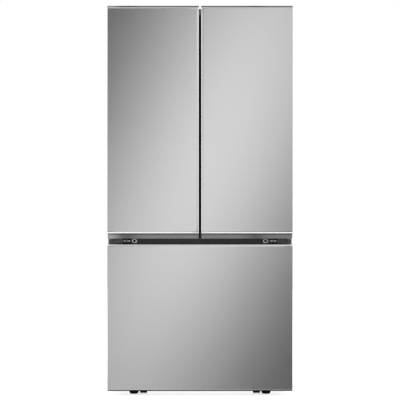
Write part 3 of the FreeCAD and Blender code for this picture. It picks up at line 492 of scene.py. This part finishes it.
# steel fronts: folded pans, flat in front, with a rounded and softly bevelled edge all round
# outerShare narrows the round and the bevel on the object's outer sides, footShare on the drawer's lower edge,
# topDrop lowers the drawer's upper edge a hair below the cap
frontLook = {"edgeRadius": 0.0024, "cornerRadius": 0.0012, "bevelWidth": 0.0052, "bevelDepth": 0.0028,
             "bevelEase": 0.35, "outerShare": 0.25, "footShare": 0.12, "topDrop": 0.0004, "thickness": 0.001,
             "foldBack": 0.03, "faceInset": 0.004, "arcSteps": 7}
hair = 0.0001    # spacing of paired points at a sharp step


def steelFront(name, node, body, look, shares, drop=0.0, notch=None):
    # side flange, a round of radius r, a soft bevel of the given width and depth, then the flat face:
    # inset = share (round inset + bevel inset), depth = share (round depth + bevel depth), where the shares
    # go left, bottom, right, top and mix at a corner by the squares of the outward direction;
    # a notch (side, x, y, z) keeps the flange in front of y wherever it is beyond x on that side and above z
    low, high = spanOf(node)
    high[2] -= drop
    radius, width, deep = look["edgeRadius"], look["bevelWidth"], look["bevelDepth"]
    path, outward = rimPath(low[0], high[0], low[2], high[2], look["cornerRadius"], 0.04, 3)
    if notch:
        way, notchX, notchY, notchZ = notch
        edge = high[0] if way > 0 else low[0]
        stops = [(edge, notchZ - hair), (edge, notchZ + hair),
                 (way * (notchX + hair), high[2]), (way * (notchX - hair), high[2])]
        path, outward = addStops(path, outward, stops)
        inNotch = (path[:, 0] * way > notchX) & (path[:, 1] > notchZ)
    toward = np.clip(outward @ np.array(((-1, 0), (0, -1), (1, 0), (0, 1))).T, 0, 1) ** 2
    share = toward @ np.array(shares)
    back = high[1] - low[1]
    sheet, fold = look["thickness"], look["foldBack"]
    # the flange's four rings keep their full size, and every ring after them takes its side's share
    steps = [(sheet, fold, 0, 0), (sheet, back, 0, 0), (0.0, back, 0, 0), (0.0, fold, 0, 0)]
    flangeRings = len(steps)
    last = math.pi / 2 - math.atan2(deep, width)
    steps += [(radius * (1 - math.cos(turn)), radius * (math.sin(last) - math.sin(turn)), 0, deep)
              for turn in np.linspace(0, last, look["arcSteps"])]
    roundInset = radius * (1 - math.cos(last))
    # the bevel eases into the face along depth (1 - t) (1 - ease t^2)
    for t in np.linspace(0, 1, look["arcSteps"])[1:]:
        steps.append((roundInset, 0.0, width * t, deep * (1 - t) * (1 - look["bevelEase"] * t ** 2)))
    steps.append((roundInset + look["faceInset"], 0.0, width, 0.0))
    rings, levels = [], []
    for count, (inset, depth, bevelInset, bevelDepth) in enumerate(steps):
        part, sidePart = np.ones(len(path)), np.ones(4)
        if count >= flangeRings:
            part, sidePart = share, np.array(shares)
        reach = (inset + bevelInset) * sidePart
        least, most = (low[0] + reach[0], low[2] + reach[1]), (high[0] - reach[2], high[2] - reach[3])
        rings.append(np.clip(path, least, most))
        level = low[1] + part * (depth + bevelDepth)
        levels.append(np.where(inNotch, np.minimum(level, notchY), level) if notch else level)
    front = stackRings(rings, levels, standing)
    inner = np.arange(len(path)) + len(path) * (len(steps) - 1)
    keep = np.concatenate([[True], np.linalg.norm(np.diff(rings[-1], axis=0), axis=1) > 1e-7])
    points = front[0][inner[keep]]
    face = (points, [list(range(len(points)))])
    return addPiece(name, [front, face], "steel_front", body, replaced=[node], sharp=40)


outer, foot = frontLook["outerShare"], frontLook["footShare"]
swing = {"x": 0.373, "y": -0.377, "z": 1.7175}   # room for the top hinge's arm
steelFront("doorFront_left", "door_skin_left", "door_left", frontLook, (outer, 1, 1, 1),
           notch=(-1, swing["x"], swing["y"], swing["z"]))
steelFront("doorFront_right", "door_skin_right", "door_right", frontLook, (1, 1, outer, 1),
           notch=(1, swing["x"], swing["y"], swing["z"]))
steelFront("drawerFront", "drawer_skin", "freezer_drawer", frontLook, (outer, foot, outer, 1),
           frontLook["topDrop"])

# black bead pressed over the lower cap's front along the drawer's foot; its near-black is partly the strip's
# own colour and partly painted shade of the line under the steel's hem
shadeBeadLook = {"proud": 0.0006, "capBack": 0.002, "back": 0.012, "rise": 0.0040, "inset": 0.002, "radius": 0.0004,
            "drop": 0.0008}
low, high = spanOf("drawer_caps")
beadFront = frontY + shadeBeadLook["capBack"] - shadeBeadLook["proud"]
strip = block((low[0] + shadeBeadLook["inset"], beadFront, low[2] - shadeBeadLook["drop"]),
              (high[0] - shadeBeadLook["inset"], frontY + shadeBeadLook["back"], low[2] + shadeBeadLook["rise"]),
              shadeBeadLook["radius"])
addPiece("drawerShadeBead", [strip], "recess_black", "freezer_drawer", sharp=30)

# painted shade in the slot between the doors: a thin black flap on each meeting edge
gapShadeFlapLook = {"reach": 0.0046, "tuck": 0.0004, "depth": 0.002, "setBack": 0.062, "endGap": 0.003, "radius": 0.0008}
for side, way in sides.items():
    low, high = spanOf("door_skin_" + side)
    meeting = high[0] if way < 0 else low[0]
    ends = sorted((meeting + way * gapShadeFlapLook["tuck"], meeting - way * gapShadeFlapLook["reach"]))
    shadeFlap = block((ends[0], frontY + gapShadeFlapLook["setBack"], low[2] + gapShadeFlapLook["endGap"]),
                 (ends[1], frontY + gapShadeFlapLook["setBack"] + gapShadeFlapLook["depth"], high[2] - gapShadeFlapLook["endGap"]),
                 gapShadeFlapLook["radius"])
    addPiece("gapShadeFlap_" + side, [shadeFlap], "recess_black", "door_" + side, sharp=30)
print("steel fronts made")


# magnetic seals: a bellows section carried round each door

gasketSize = {"width": 0.020, "ribDepth": 0.0022, "cornerRadius": 0.006}


def bellowsSeal(name, node, body, look):
    # section points (inset, depth) run out along the door side, over the folds and back:
    # point = path - inset outward, at that depth behind the front
    low, high = spanOf(node)
    width = look["width"]
    deep = high[1] - low[1]
    path, outward = rimPath(low[0], high[0], low[2], high[2], look["cornerRadius"], 0.06, 5)
    fold = look["ribDepth"]
    section = [(0.002, 0.0), (0.0005, deep * 0.10), (fold, deep * 0.22), (0.0, deep * 0.36),
               (fold, deep * 0.50), (0.0, deep * 0.64), (0.0, deep * 0.88), (0.0015, deep),
               (width * 0.5, deep - 0.0002), (width - 0.0015, deep), (width, deep * 0.88), (width, deep * 0.64),
               (width - fold, deep * 0.50), (width, deep * 0.36), (width - fold, deep * 0.22),
               (width - 0.0005, deep * 0.10), (width - 0.002, 0.0)]
    rings = [offsetPath(path, outward, -inset * np.ones(len(path))) for inset, depth in section]
    levels = [low[1] + depth for inset, depth in section]
    grid = np.zeros((len(rings), len(path), 3))
    grid[:, :, 0] = np.array([ring[:, 0] for ring in rings])
    grid[:, :, 2] = np.array([ring[:, 1] for ring in rings])
    grid[:, :, 1] = np.array(levels)[:, None]
    seal = gridShape(grid, wrapRows=True, wrapColumns=True)
    return addPiece(name, [seal], "gasket", body, replaced=[node], sharp=50)


for side in sides:
    bellowsSeal("doorSeal_" + side, "door_gasket_" + side, "door_" + side, gasketSize)
bellowsSeal("drawerSeal", "drawer_gasket", "freezer_drawer", gasketSize)
print("seals made")


# tubs: bins, crispers, tray and basket share one wall function

def tub(name, low, high, finish, body, look, replaced):
    # outer wall up, round a rolled lip, inner wall down: ring(level) = path - inset - rib(s) outward,
    # rib(s) = ribDepth max(0, cos(2 pi s / ribPitch))^3 between the plinth and the lip
    path, outward = rimPath(low[0], high[0], low[1], high[1], look["corner"], 0.012)
    run = alongPath(path)
    rib = look["ribDepth"] * np.clip(np.cos(2 * math.pi * run / look["ribPitch"]), 0, 1) ** 2
    wall, lip, taper = look["wall"], look["lip"], look["taper"]
    height = high[2] - low[2]
    rise = [0.0, 0.0015, 0.006, 0.10, 0.18, 0.82, 0.88]    # three in metres, then shares of the height
    tuck = [0.006, 0.0018, 0.0, 0.0, 0.0, 0.0, 0.0]         # rounding in towards the floor
    rings, levels = [], []
    for k, share in enumerate(rise):
        z = low[2] + (share if k < 3 else share * height)
        inset = lip + taper * (1 - (z - low[2]) / height) + tuck[k]
        ribbed = rib if 0.15 < share < 0.85 else 0 * rib
        rings.append(offsetPath(path, outward, -(inset + ribbed)))
        levels.append(z)
    # rolled lip
    for inset, down in ((lip, 0.010), (0.0004, 0.0085), (0.0, 0.006), (0.0, 0.0015), (0.0008, 0.0004),
                        (0.002, 0.0), (lip + wall - 0.001, 0.0), (lip + wall, 0.001)):
        rings.append(offsetPath(path, outward, -inset * np.ones(len(path))))
        levels.append(high[2] - down)
    for share in reversed(rise[1:]):
        z = low[2] + wall + (share if share < 0.01 else share * height) * (1 - wall / height)
        inset = lip + wall + taper * (1 - (z - low[2]) / height) + (0.004 if share < 0.002 else 0.0)
        ribbed = rib if 0.15 < share < 0.85 else 0 * rib
        rings.append(offsetPath(path, outward, -(inset + ribbed)))
        levels.append(z)
    levels = [np.full(len(path), level) for level in levels]
    shape = stackRings(rings, levels, flat, closeLow=True, closeHigh=True)
    return addPiece(name, [shape] + look.get("extras", []), finish, body, replaced=replaced, sharp=38)


binShape = {"wall": 0.003, "lip": 0.003, "taper": 0.003, "corner": 0.016, "ribDepth": 0.0012,
            "ribPitch": 0.05}
for side in sides:
    for level in ("upper", "lower"):
        node = "door_bin_%s_%s" % (level, side)
        low, high = spanOf(node)
        tub("doorBin_%s_%s" % (level, side), low, high, "clear_plastic", "door_" + side, binShape, [node])

crisperShape = {"wall": 0.003, "lip": 0.003, "taper": 0.004, "corner": 0.018, "ribDepth": 0.0016,
                "ribPitch": 0.06, "gripIn": 0.04, "gripOut": 0.014, "gripThick": 0.004}
for side in sides:
    node = "crisper_" + side
    low, high = spanOf(node)
    gripFront = low[1]
    low[1] = gripFront + crisperShape["gripOut"]
    gripStart, gripEnd = low[0] + crisperShape["gripIn"], high[0] - crisperShape["gripIn"]
    lipBar = block((gripStart, gripFront, high[2] - 0.024),
                   (gripEnd, gripFront + crisperShape["gripThick"], high[2] - 0.006), 0.0019)
    bridge = block((gripStart, gripFront, high[2] - 0.010),
                   (gripEnd, low[1] + crisperShape["gripThick"], high[2] - 0.004), 0.0028)
    look = dict(crisperShape, extras=[lipBar, bridge])
    tub("crisperTub_" + side, low, high, "clear_plastic", node, look, [node])

basketShape = {"wall": 0.003, "lip": 0.003, "taper": 0.010, "corner": 0.026, "ribDepth": 0.0035,
               "ribPitch": 0.045, "earWidth": 0.015, "earThick": 0.003, "earEnds": 0.024}
trayShape = {"wall": 0.003, "lip": 0.003, "taper": 0.006, "corner": 0.022, "ribDepth": 0.0025,
             "ribPitch": 0.05, "earWidth": 0.028, "earLow": 0.0204, "earHigh": 0.0244, "earEnds": 0.024}


def runnerBars(node, tubHalf, z0, z1, inset):
    # the flat ears that carry a tub on its side rails
    low, high = spanOf(node)
    bars = []
    for way in sides.values():
        ends = sorted((way * high[0], way * (tubHalf - 0.004)))
        bars.append(block((ends[0], low[1] + inset, z0), (ends[1], high[1] - inset, z1), 0.0014))
    return bars


low, high = spanOf("freezer_basket")
half = high[0] - basketShape["earWidth"]
ears = runnerBars("freezer_basket", half, high[2] - basketShape["earThick"], high[2], basketShape["earEnds"])
basketLook = dict(basketShape, extras=ears)
tub("freezerBasket", np.array((-half, low[1], low[2])), np.array((half, high[1], high[2])), "tub_white",
    "freezer_drawer", basketLook, ["freezer_basket"])
low, high = spanOf("freezer_tray")
half = high[0] - trayShape["earWidth"]
ears = runnerBars("freezer_tray", half, low[2] + trayShape["earLow"], low[2] + trayShape["earHigh"],
                  trayShape["earEnds"])
trayLook = dict(trayShape, extras=ears)
tub("freezerTray", np.array((-half, low[1], low[2])), np.array((half, high[1], high[2])), "tub_white",
    "freezer_tray", trayLook, ["freezer_tray"])
print("bins, crispers, tray and basket made")


# feet and rollers

footShape = {"baseRadius": 0.0160, "bowlRise": 0.013, "nutRadius": 0.0086, "stemRadius": 0.005,
             "threadPitch": 0.00175, "threadDepth": 0.0006}
rollerShape = {"grooves": 3, "grooveDepth": 0.0008, "hubRadius": 0.009, "webSink": 0.004, "boreRadius": 0.00305,
               "rearRadius": 0.022}


def levellingFoot(name, node, body, look):
    # a bowl on the floor, a hexagon nut on it and a threaded stem up to the node's top
    low, high = spanOf(node)
    centre = (low + high) / 2
    radius = (high[0] - low[0]) / 2
    # bowl: r(t) from the base radius to the full radius along a quarter ellipse, then the rolled rim
    turn = np.linspace(0, math.pi / 2, 9)
    base = look["baseRadius"]
    bowl = [(0.0, 0.0012), (base * 0.6, 0.0012), (base * 0.7, 0.0), (base, 0.0)]
    bowl += [(base + (radius - base) * math.sin(t), 0.001 + look["bowlRise"] * (1 - math.cos(t)))
             for t in turn[1:]]
    bowl += [(radius, 0.0175), (radius - 0.0006, 0.019), (radius - 0.002, 0.020), (0.0115, 0.020),
             (0.0105, 0.0185), (0.0, 0.0185)]
    shapes = [revolve(bowl, (centre[0], centre[1], 0.0), (0, 0, 1), 64)]
    # hexagon: radius = nutRadius / cos of the angle from the middle of the nearest of its six faces
    angle = np.linspace(0, 2 * math.pi, 72, endpoint=False)
    hexagon = look["nutRadius"] / np.cos((angle + math.pi / 6) % (math.pi / 3) - math.pi / 6)
    rings, levels = [], []
    for inset, z in ((0.0006, 0.0186), (0.0, 0.0200), (0.0, 0.0252), (0.0008, 0.0260)):
        ring = np.stack([np.cos(angle), np.sin(angle)], axis=-1) * (hexagon - inset)[:, None] + centre[:2]
        rings.append(ring)
        levels.append(np.full(len(angle), z))
    shapes.append(stackRings(rings, levels, flat, closeLow=True, closeHigh=True))
    # stem: radius = stemRadius - depth (1 - cos(2 pi z / pitch - a)) / 2, a single-start thread
    z = np.linspace(0.0255, high[2], 150)
    ring = np.linspace(0, 2 * math.pi, 24, endpoint=False)
    phase = 2 * math.pi * z[:, None] / look["threadPitch"] - ring[None]
    stemRadius = look["stemRadius"] - look["threadDepth"] * (1 - np.cos(phase)) / 2
    grid = np.stack([centre[0] + stemRadius * np.cos(ring), centre[1] + stemRadius * np.sin(ring),
                     np.repeat(z[:, None], 24, 1)], axis=-1)
    under = grid[:1].mean(axis=1, keepdims=True).repeat(24, 1)
    over = grid[-1:].mean(axis=1, keepdims=True).repeat(24, 1)
    shapes.append(gridShape(np.concatenate([under, grid, over]), wrapColumns=True))
    return addPiece(name, shapes, "foot_black", body, replaced=[node], sharp=30)


def roller(name, node, body, look):
    # profile (radius, place along the axle) turned about x: hub, sunk web and a grooved rim, the same both ways
    low, high = spanOf(node)
    centre = (low + high) / 2
    radius = (high[2] - low[2]) / 2
    if node.startswith("rear"):
        radius = look["rearRadius"]
        centre[2] = radius
    half = (high[0] - low[0]) / 2
    bore, hub, sink, groove = look["boreRadius"], look["hubRadius"], look["webSink"], look["grooveDepth"]
    flank = [(bore, -half), (hub, -half), (hub + 0.001, -half + sink), (radius - 0.005, -half + sink),
             (radius - 0.004, -half), (radius - 0.0025, -half), (radius - 0.0007, -half + 0.0007),
             (radius, -half + 0.0025)]
    rim = []
    for k in range(look["grooves"]):
        spot = (k - 1) * half * 0.5
        rim += [(radius, spot - 0.0012), (radius - groove, spot - 0.0006), (radius - groove, spot + 0.0006),
                (radius, spot + 0.0012)]
    profile = flank + rim + [(r, -h) for r, h in reversed(flank)] + flank[:1]
    shape = revolve(profile, centre, (1, 0, 0), 56)
    return addPiece(name, [shape], "tyre_black", body, replaced=[node], sharp=30)


for side in sides:
    levellingFoot("foot_" + side, "levelling_foot_" + side, "levelling_foot_" + side, footShape)
    for place in ("front", "rear"):
        node = place + "_roller_" + side
        roller("roller_%s_%s" % (place, side), node, node, rollerShape)
print("feet and rollers made")


# hinge screws and other fixings: heads with a cross recess

def screwHead(centre, axis, radius, height):
    # domed head: h = height sqrt(1 - 0.7 (r / radius)^2), sunk where |u| or |v| is within the cross's arm
    axis = np.array(axis, float)
    helper = np.array((0.0, 0.0, 1.0)) if abs(axis[2]) < 0.9 else np.array((1.0, 0.0, 0.0))
    first = np.cross(axis, helper)
    first /= np.linalg.norm(first)
    second = np.cross(axis, first)
    r = radius * np.array([1.0, 1.0, 0.97, 0.85, 0.68, 0.55, 0.45, 0.34, 0.24, 0.14, 0.06, 0.0])
    angle = np.linspace(0, 2 * math.pi, 32, endpoint=False)
    u, v = r[:, None] * np.cos(angle), r[:, None] * np.sin(angle)
    h = height * np.sqrt(np.clip(1 - 0.7 * (r / radius) ** 2, 0, 1))[:, None] * np.ones(len(angle))
    arm = 0.14 * radius
    cross = ((np.abs(u) < arm) | (np.abs(v) < arm)) & (r[:, None] < 0.6 * radius)
    h = np.where(cross, h - height * 0.55, h)
    h[0] = 0.0
    points = np.array(centre) + u[..., None] * first + v[..., None] * second + h[..., None] * axis
    return gridShape(points, wrapColumns=True)


def screws(name, places, axis, body, size):
    # equal heads of size (radius, height) as one piece
    shapes = [screwHead(place, axis, size[0], size[1]) for place in places]
    return addPiece(name, shapes, "bolt_steel", body, sharp=30)


# middle hinge: a black well with two screws in it, and a bright collar round a dark plug
hingeLook = {"screwAt": (0.340, 0.322), "wellAt": 0.331, "wellHalf": 0.018, "collarAt": 0.297,
             "collarRadius": 0.0125, "plugRadius": 0.0046}


def hingeFace(side, way, look):
    # four bars round the screws; the collar and the plug are profiles (radius, height) turned about -y
    low = spanOf("hinge_middle_" + side)[0]
    plateY = spanOf("wrapper")[0][1] - 0.004
    level = (low[2] + spanOf("door_caps_" + side)[0][2] - 0.004) / 2 + 0.001
    well = []
    for a, b, c, d in ((-1, 1, 0.0055, 0.0095), (-1, 1, -0.0115, -0.0075), (-1, -0.80, -0.0095, 0.0075),
                       (0.80, 1, -0.0095, 0.0075)):
        ends = sorted(way * (look["wellAt"] + part * look["wellHalf"]) for part in (a, b))
        well.append(block((ends[0], plateY - 0.0055, level + c),
                          (ends[1], plateY + 0.0005, level + d), 0.0016))
    addPiece("hingeWell_" + side, well, "recess_black", "cabinet", sharp=30)
    screws("hingeScrews_" + side, [(way * x, plateY - 0.0035, level) for x in look["screwAt"]], (0, -1, 0),
           "cabinet", (0.0056, 0.0020))
    rim, plug = look["collarRadius"], look["plugRadius"]
    ring = [(plug + 0.0004, 0.0), (rim, 0.0), (rim, 0.0040), (rim - 0.0012, 0.0058), (rim - 0.004, 0.0066),
            (plug + 0.0018, 0.0062), (plug + 0.0004, 0.0048)]
    ring.append(ring[0])
    collar = revolve(ring, (way * look["collarAt"], plateY, level), (0, -1, 0), 48)
    addPiece("hingeCollar_" + side, [collar], "bolt_steel", "cabinet", sharp=30)
    tip = [(0.0, 0.0), (plug, 0.0), (plug, 0.0052), (plug * 0.8, 0.0062), (0.0, 0.0064)]
    plugShape = revolve(tip, (way * look["collarAt"], plateY, level), (0, -1, 0), 32)
    addPiece("hingePlug_" + side, [plugShape], "recess_black", "cabinet", sharp=30)


for side, way in sides.items():
    hingeFace(side, way, hingeLook)
    low, high = spanOf("hinge_cover_" + side)
    screws("coverScrew_" + side, [(way * 0.376, low[1] + 0.085, high[2] - 0.0001)], (0, 0, 1), "cabinet",
           (0.0042, 0.0017))
print("fixings made")


# back panel: sheet stamped with upright stiffening beads

backShape = {"beads": 5, "beadWidth": 0.018, "beadDepth": 0.0009, "thickness": 0.001, "border": 0.06,
             "endIn": 0.04, "closer": 0.02, "fade": 0.03}


def stampedBack(name, node, body, look):
    # y = back - depth times the sum over beads of cos^2(pi (x - its middle) / width) within half a width
    # of that middle, faded at both ends
    low, high = spanOf(node)
    x = np.linspace(low[0], high[0], 261)
    z = np.linspace(low[2], high[2], 61)
    spread = (high[0] - low[0] - 2 * look["border"]) / (look["beads"] - 1)
    centres = low[0] + look["border"] + look["endIn"] + np.arange(look["beads"]) * (spread - look["closer"])
    gap = np.abs(x[None] - centres[:, None])
    swell = np.cos(math.pi * gap / look["beadWidth"]) ** 2
    bead = np.where(gap < look["beadWidth"] / 2, swell, 0).sum(axis=0)
    fade = (np.clip((z - low[2] - look["border"]) / look["fade"], 0, 1)
            * np.clip((high[2] - look["border"] - z) / look["fade"], 0, 1))
    depth = look["beadDepth"] * bead[None] * fade[:, None]
    grid = np.zeros((len(z), len(x), 3))
    grid[:, :, 0], grid[:, :, 2] = x[None], z[:, None]
    grid[:, :, 1] = high[1] - depth
    inner = grid.copy()
    inner[:, :, 1] = high[1] - look["thickness"]
    rim = np.concatenate([grid[0], grid[1:, -1], grid[-1, -2::-1], grid[-2:0:-1, 0]])
    rimInner = rim.copy()
    rimInner[:, 1] -= look["thickness"]
    band = gridShape(np.stack([rim, rimInner]), wrapColumns=True)
    shapes = [gridShape(grid), gridShape(inner), band]
    return addPiece(name, shapes, "galvanised", body, replaced=[node], sharp=40)


stampedBack("backSheet", "back_panel", "cabinet", backShape)
print("back panel made")


# shelf noses: bright extruded trim along each shelf's front

noseLook = {"height": 0.014, "depth": 0.0045}
for side in sides:
    low, high = spanOf("shelf_frames_" + side)
    tops = sorted({round(corner.co.z, 4) for corner in nodes["shelf_glass_" + side].data.vertices})
    heights = [tops[k] for k in range(1, len(tops), 2)]
    shapes = []
    for top in heights:
        shapes.append(block((low[0] + 0.004, low[1] + 0.001 - noseLook["depth"], top - noseLook["height"]),
                            (high[0] - 0.004, low[1] + 0.001, top - 0.002), 0.0022))
    addPiece("shelfNose_" + side, shapes, "bolt_steel", "cabinet", sharp=30)
print("shelf noses made")


# studio: pale floor, white surround and one long soft strip light in front that gives the fronts their shading

studio = {"floorSize": 16.0, "floorColour": (0.62, 0.62, 0.62), "floorGlow": 1.15, "reflectorAway": 2.0,
          "eyeHeight": 0.879, "eyeDistance": 7.0, "lens": 140.5, "steelShine": 0.62, "surround": 1.0}


def stagePlane(name, corners, material):
    # one flat face through four corners, for the studio only
    mesh = bpy.data.meshes.new(name)
    mesh.from_pydata([tuple(c) for c in corners], [], [(0, 1, 2, 3)])
    mesh.materials.append(material)
    plane = bpy.data.objects.new(name, mesh)
    bpy.context.scene.collection.objects.link(plane)
    return plane


floorPaint = Paint("studioFloor")
mottle = floorPaint.noise(floorPaint.place(), 2.0, 3.0, 0.5)
duller = tuple(c * 0.985 for c in studio["floorColour"])
floorColour = floorPaint.blendColour(mottle, duller, studio["floorColour"])
# the floor is a lit table: it glows a little, so that shadows on it stay faint
floorSurface = floorPaint.surface({"Base Color": floorColour, "Roughness": 0.85 + mottle * 0.05,
                                   "Emission Color": floorColour, "Emission Strength": studio["floorGlow"]})
reach = studio["floorSize"] / 2
floor = stagePlane("floor", [(-reach, -reach, 0), (reach, -reach, 0), (reach, reach, 0), (-reach, reach, 0)],
                   floorSurface)
floor.visible_glossy = False

# the reflector is a long strip light that leans to one side. At a spot on it the brightness is level times
# exp of minus (across / width) squared minus (along / length) squared, both measured from its middle,
# and past darkest widths across it gets no darker
stripLight = {"level": 0.73, "middleX": 0.07, "middleZ": 1.15, "width": 0.62, "length": 2.2, "lean": 22.0,
              "darkest": 1.5, "cardHalf": 1.3, "cardLow": -0.9, "cardHigh": 2.9}
glowPaint = Paint("reflectorGlow")
spot = glowPaint.node("ShaderNodeTexCoord", output="Object")
parts = [glowPaint.node("ShaderNodeSeparateXYZ", {}, {0: spot}, output=k) for k in range(3)]
lean = math.radians(stripLight["lean"])
awayX, awayZ = parts[0] - stripLight["middleX"], parts[2] - stripLight["middleZ"]
across = (awayX * math.cos(lean) - awayZ * math.sin(lean)) / stripLight["width"]
along = (awayX * math.sin(lean) + awayZ * math.cos(lean)) / stripLight["length"]
across = glowPaint.node("ShaderNodeClamp", {}, {"Value": across, "Min": -stripLight["darkest"],
                                                "Max": stripLight["darkest"]})
fall = (across * across + along * along) * -1.0
level = glowPaint.node("ShaderNodeMath", {"operation": "EXPONENT"}, {0: fall}) * stripLight["level"]
cardY = frontY - studio["reflectorAway"]
cardHalf, cardLow, cardHigh = stripLight["cardHalf"], stripLight["cardLow"], stripLight["cardHigh"]
card = stagePlane("reflector", [(-cardHalf, cardY, cardLow), (-cardHalf, cardY, cardHigh),
                                (cardHalf, cardY, cardHigh), (cardHalf, cardY, cardLow)],
                  glowPaint.glow(level, 1 / studio["steelShine"]))


def shineOnly(plane):
    # seen in reflections and nowhere else
    plane.visible_camera = False
    plane.visible_diffuse = False
    plane.visible_shadow = False
    plane.visible_transmission = False


shineOnly(card)

# soft lights below, above and beside the strip, which only show in the steel's rounded edges
# and in other shiny curves
edgeLights = {"half": 1.3, "sideHalf": 1.35, "under": -0.30, "over": 2.95, "sideTop": 2.6,
              "low": 2.0, "high": 1.6, "side": 1.7,
              "dimShade": (0.94, 0.94, 0.94), "fullShade": (1.0, 1.0, 1.0)}


def glowPlane(name, corners, brightness):
    paint = Paint(name)
    patch = paint.noise(paint.place(), 1.5, 2.0, 0.5)
    shade = paint.blendColour(patch, edgeLights["dimShade"], edgeLights["fullShade"])
    shineOnly(stagePlane(name, corners, paint.glow(shade, brightness)))


near, far = frontY - 0.10, cardY + 0.02
half, under, over = edgeLights["half"], edgeLights["under"], edgeLights["over"]
glowPlane("lowGlow", [(-half, near - 0.36, under), (half, near - 0.36, under), (half, near - 0.9, under),
                      (-half, near - 0.9, under)], edgeLights["low"])
glowPlane("highGlow", [(-half, near - 0.5, over), (-half, far, over), (half, far, over),
                       (half, near - 0.5, over)], edgeLights["high"])
for way in sides.values():
    x = way * edgeLights["sideHalf"]
    glowPlane("sideGlow", [(x, near - 0.7, under), (x, far, under), (x, far, edgeLights["sideTop"]),
                           (x, near - 0.7, edgeLights["sideTop"])], edgeLights["side"])

world = bpy.data.worlds.new("surround")
bpy.context.scene.world = world
world.use_nodes = True
worldPaint = Paint("surroundSky", world.node_tree)
white = (1.0, 1.0, 1.0, 1.0)
sky = worldPaint.node("ShaderNodeBackground", {}, {"Color": white, "Strength": studio["surround"]})
worldPaint.close(sky, "ShaderNodeOutputWorld")


def softLight(name, place, aim, size, power):
    # an area lamp at its place, turned to its aim
    lamp = bpy.data.lights.new(name, "AREA")
    lamp.shape = "RECTANGLE"
    lamp.size, lamp.size_y = size
    lamp.energy = power
    light = bpy.data.objects.new(name, lamp)
    light.location = place
    direction = np.array(aim, float) - np.array(place, float)
    light.rotation_euler = Vector(direction).to_track_quat("-Z", "Y").to_euler()
    bpy.context.scene.collection.objects.link(light)
    light.visible_camera = False
    return light


topLight = softLight("topSoftbox", (0.3, -1.0, 4.6), (0, -0.4, 0.4), (5.0, 5.0), 300)
topLight.visible_glossy = False
print("studio made")

view = bpy.data.cameras.new("eye")
view.lens = studio["lens"]
view.sensor_width = 36.0
view.clip_end = 60.0
camera = bpy.data.objects.new("eye", view)
camera.location = (0.0, frontY - studio["eyeDistance"], studio["eyeHeight"])
camera.rotation_euler = (math.pi / 2, 0, 0)
bpy.context.scene.collection.objects.link(camera)
bpy.context.scene.camera = camera
bpy.context.scene.view_settings.view_transform = "Standard"
print("camera placed")

bpy.context.view_layer.update()
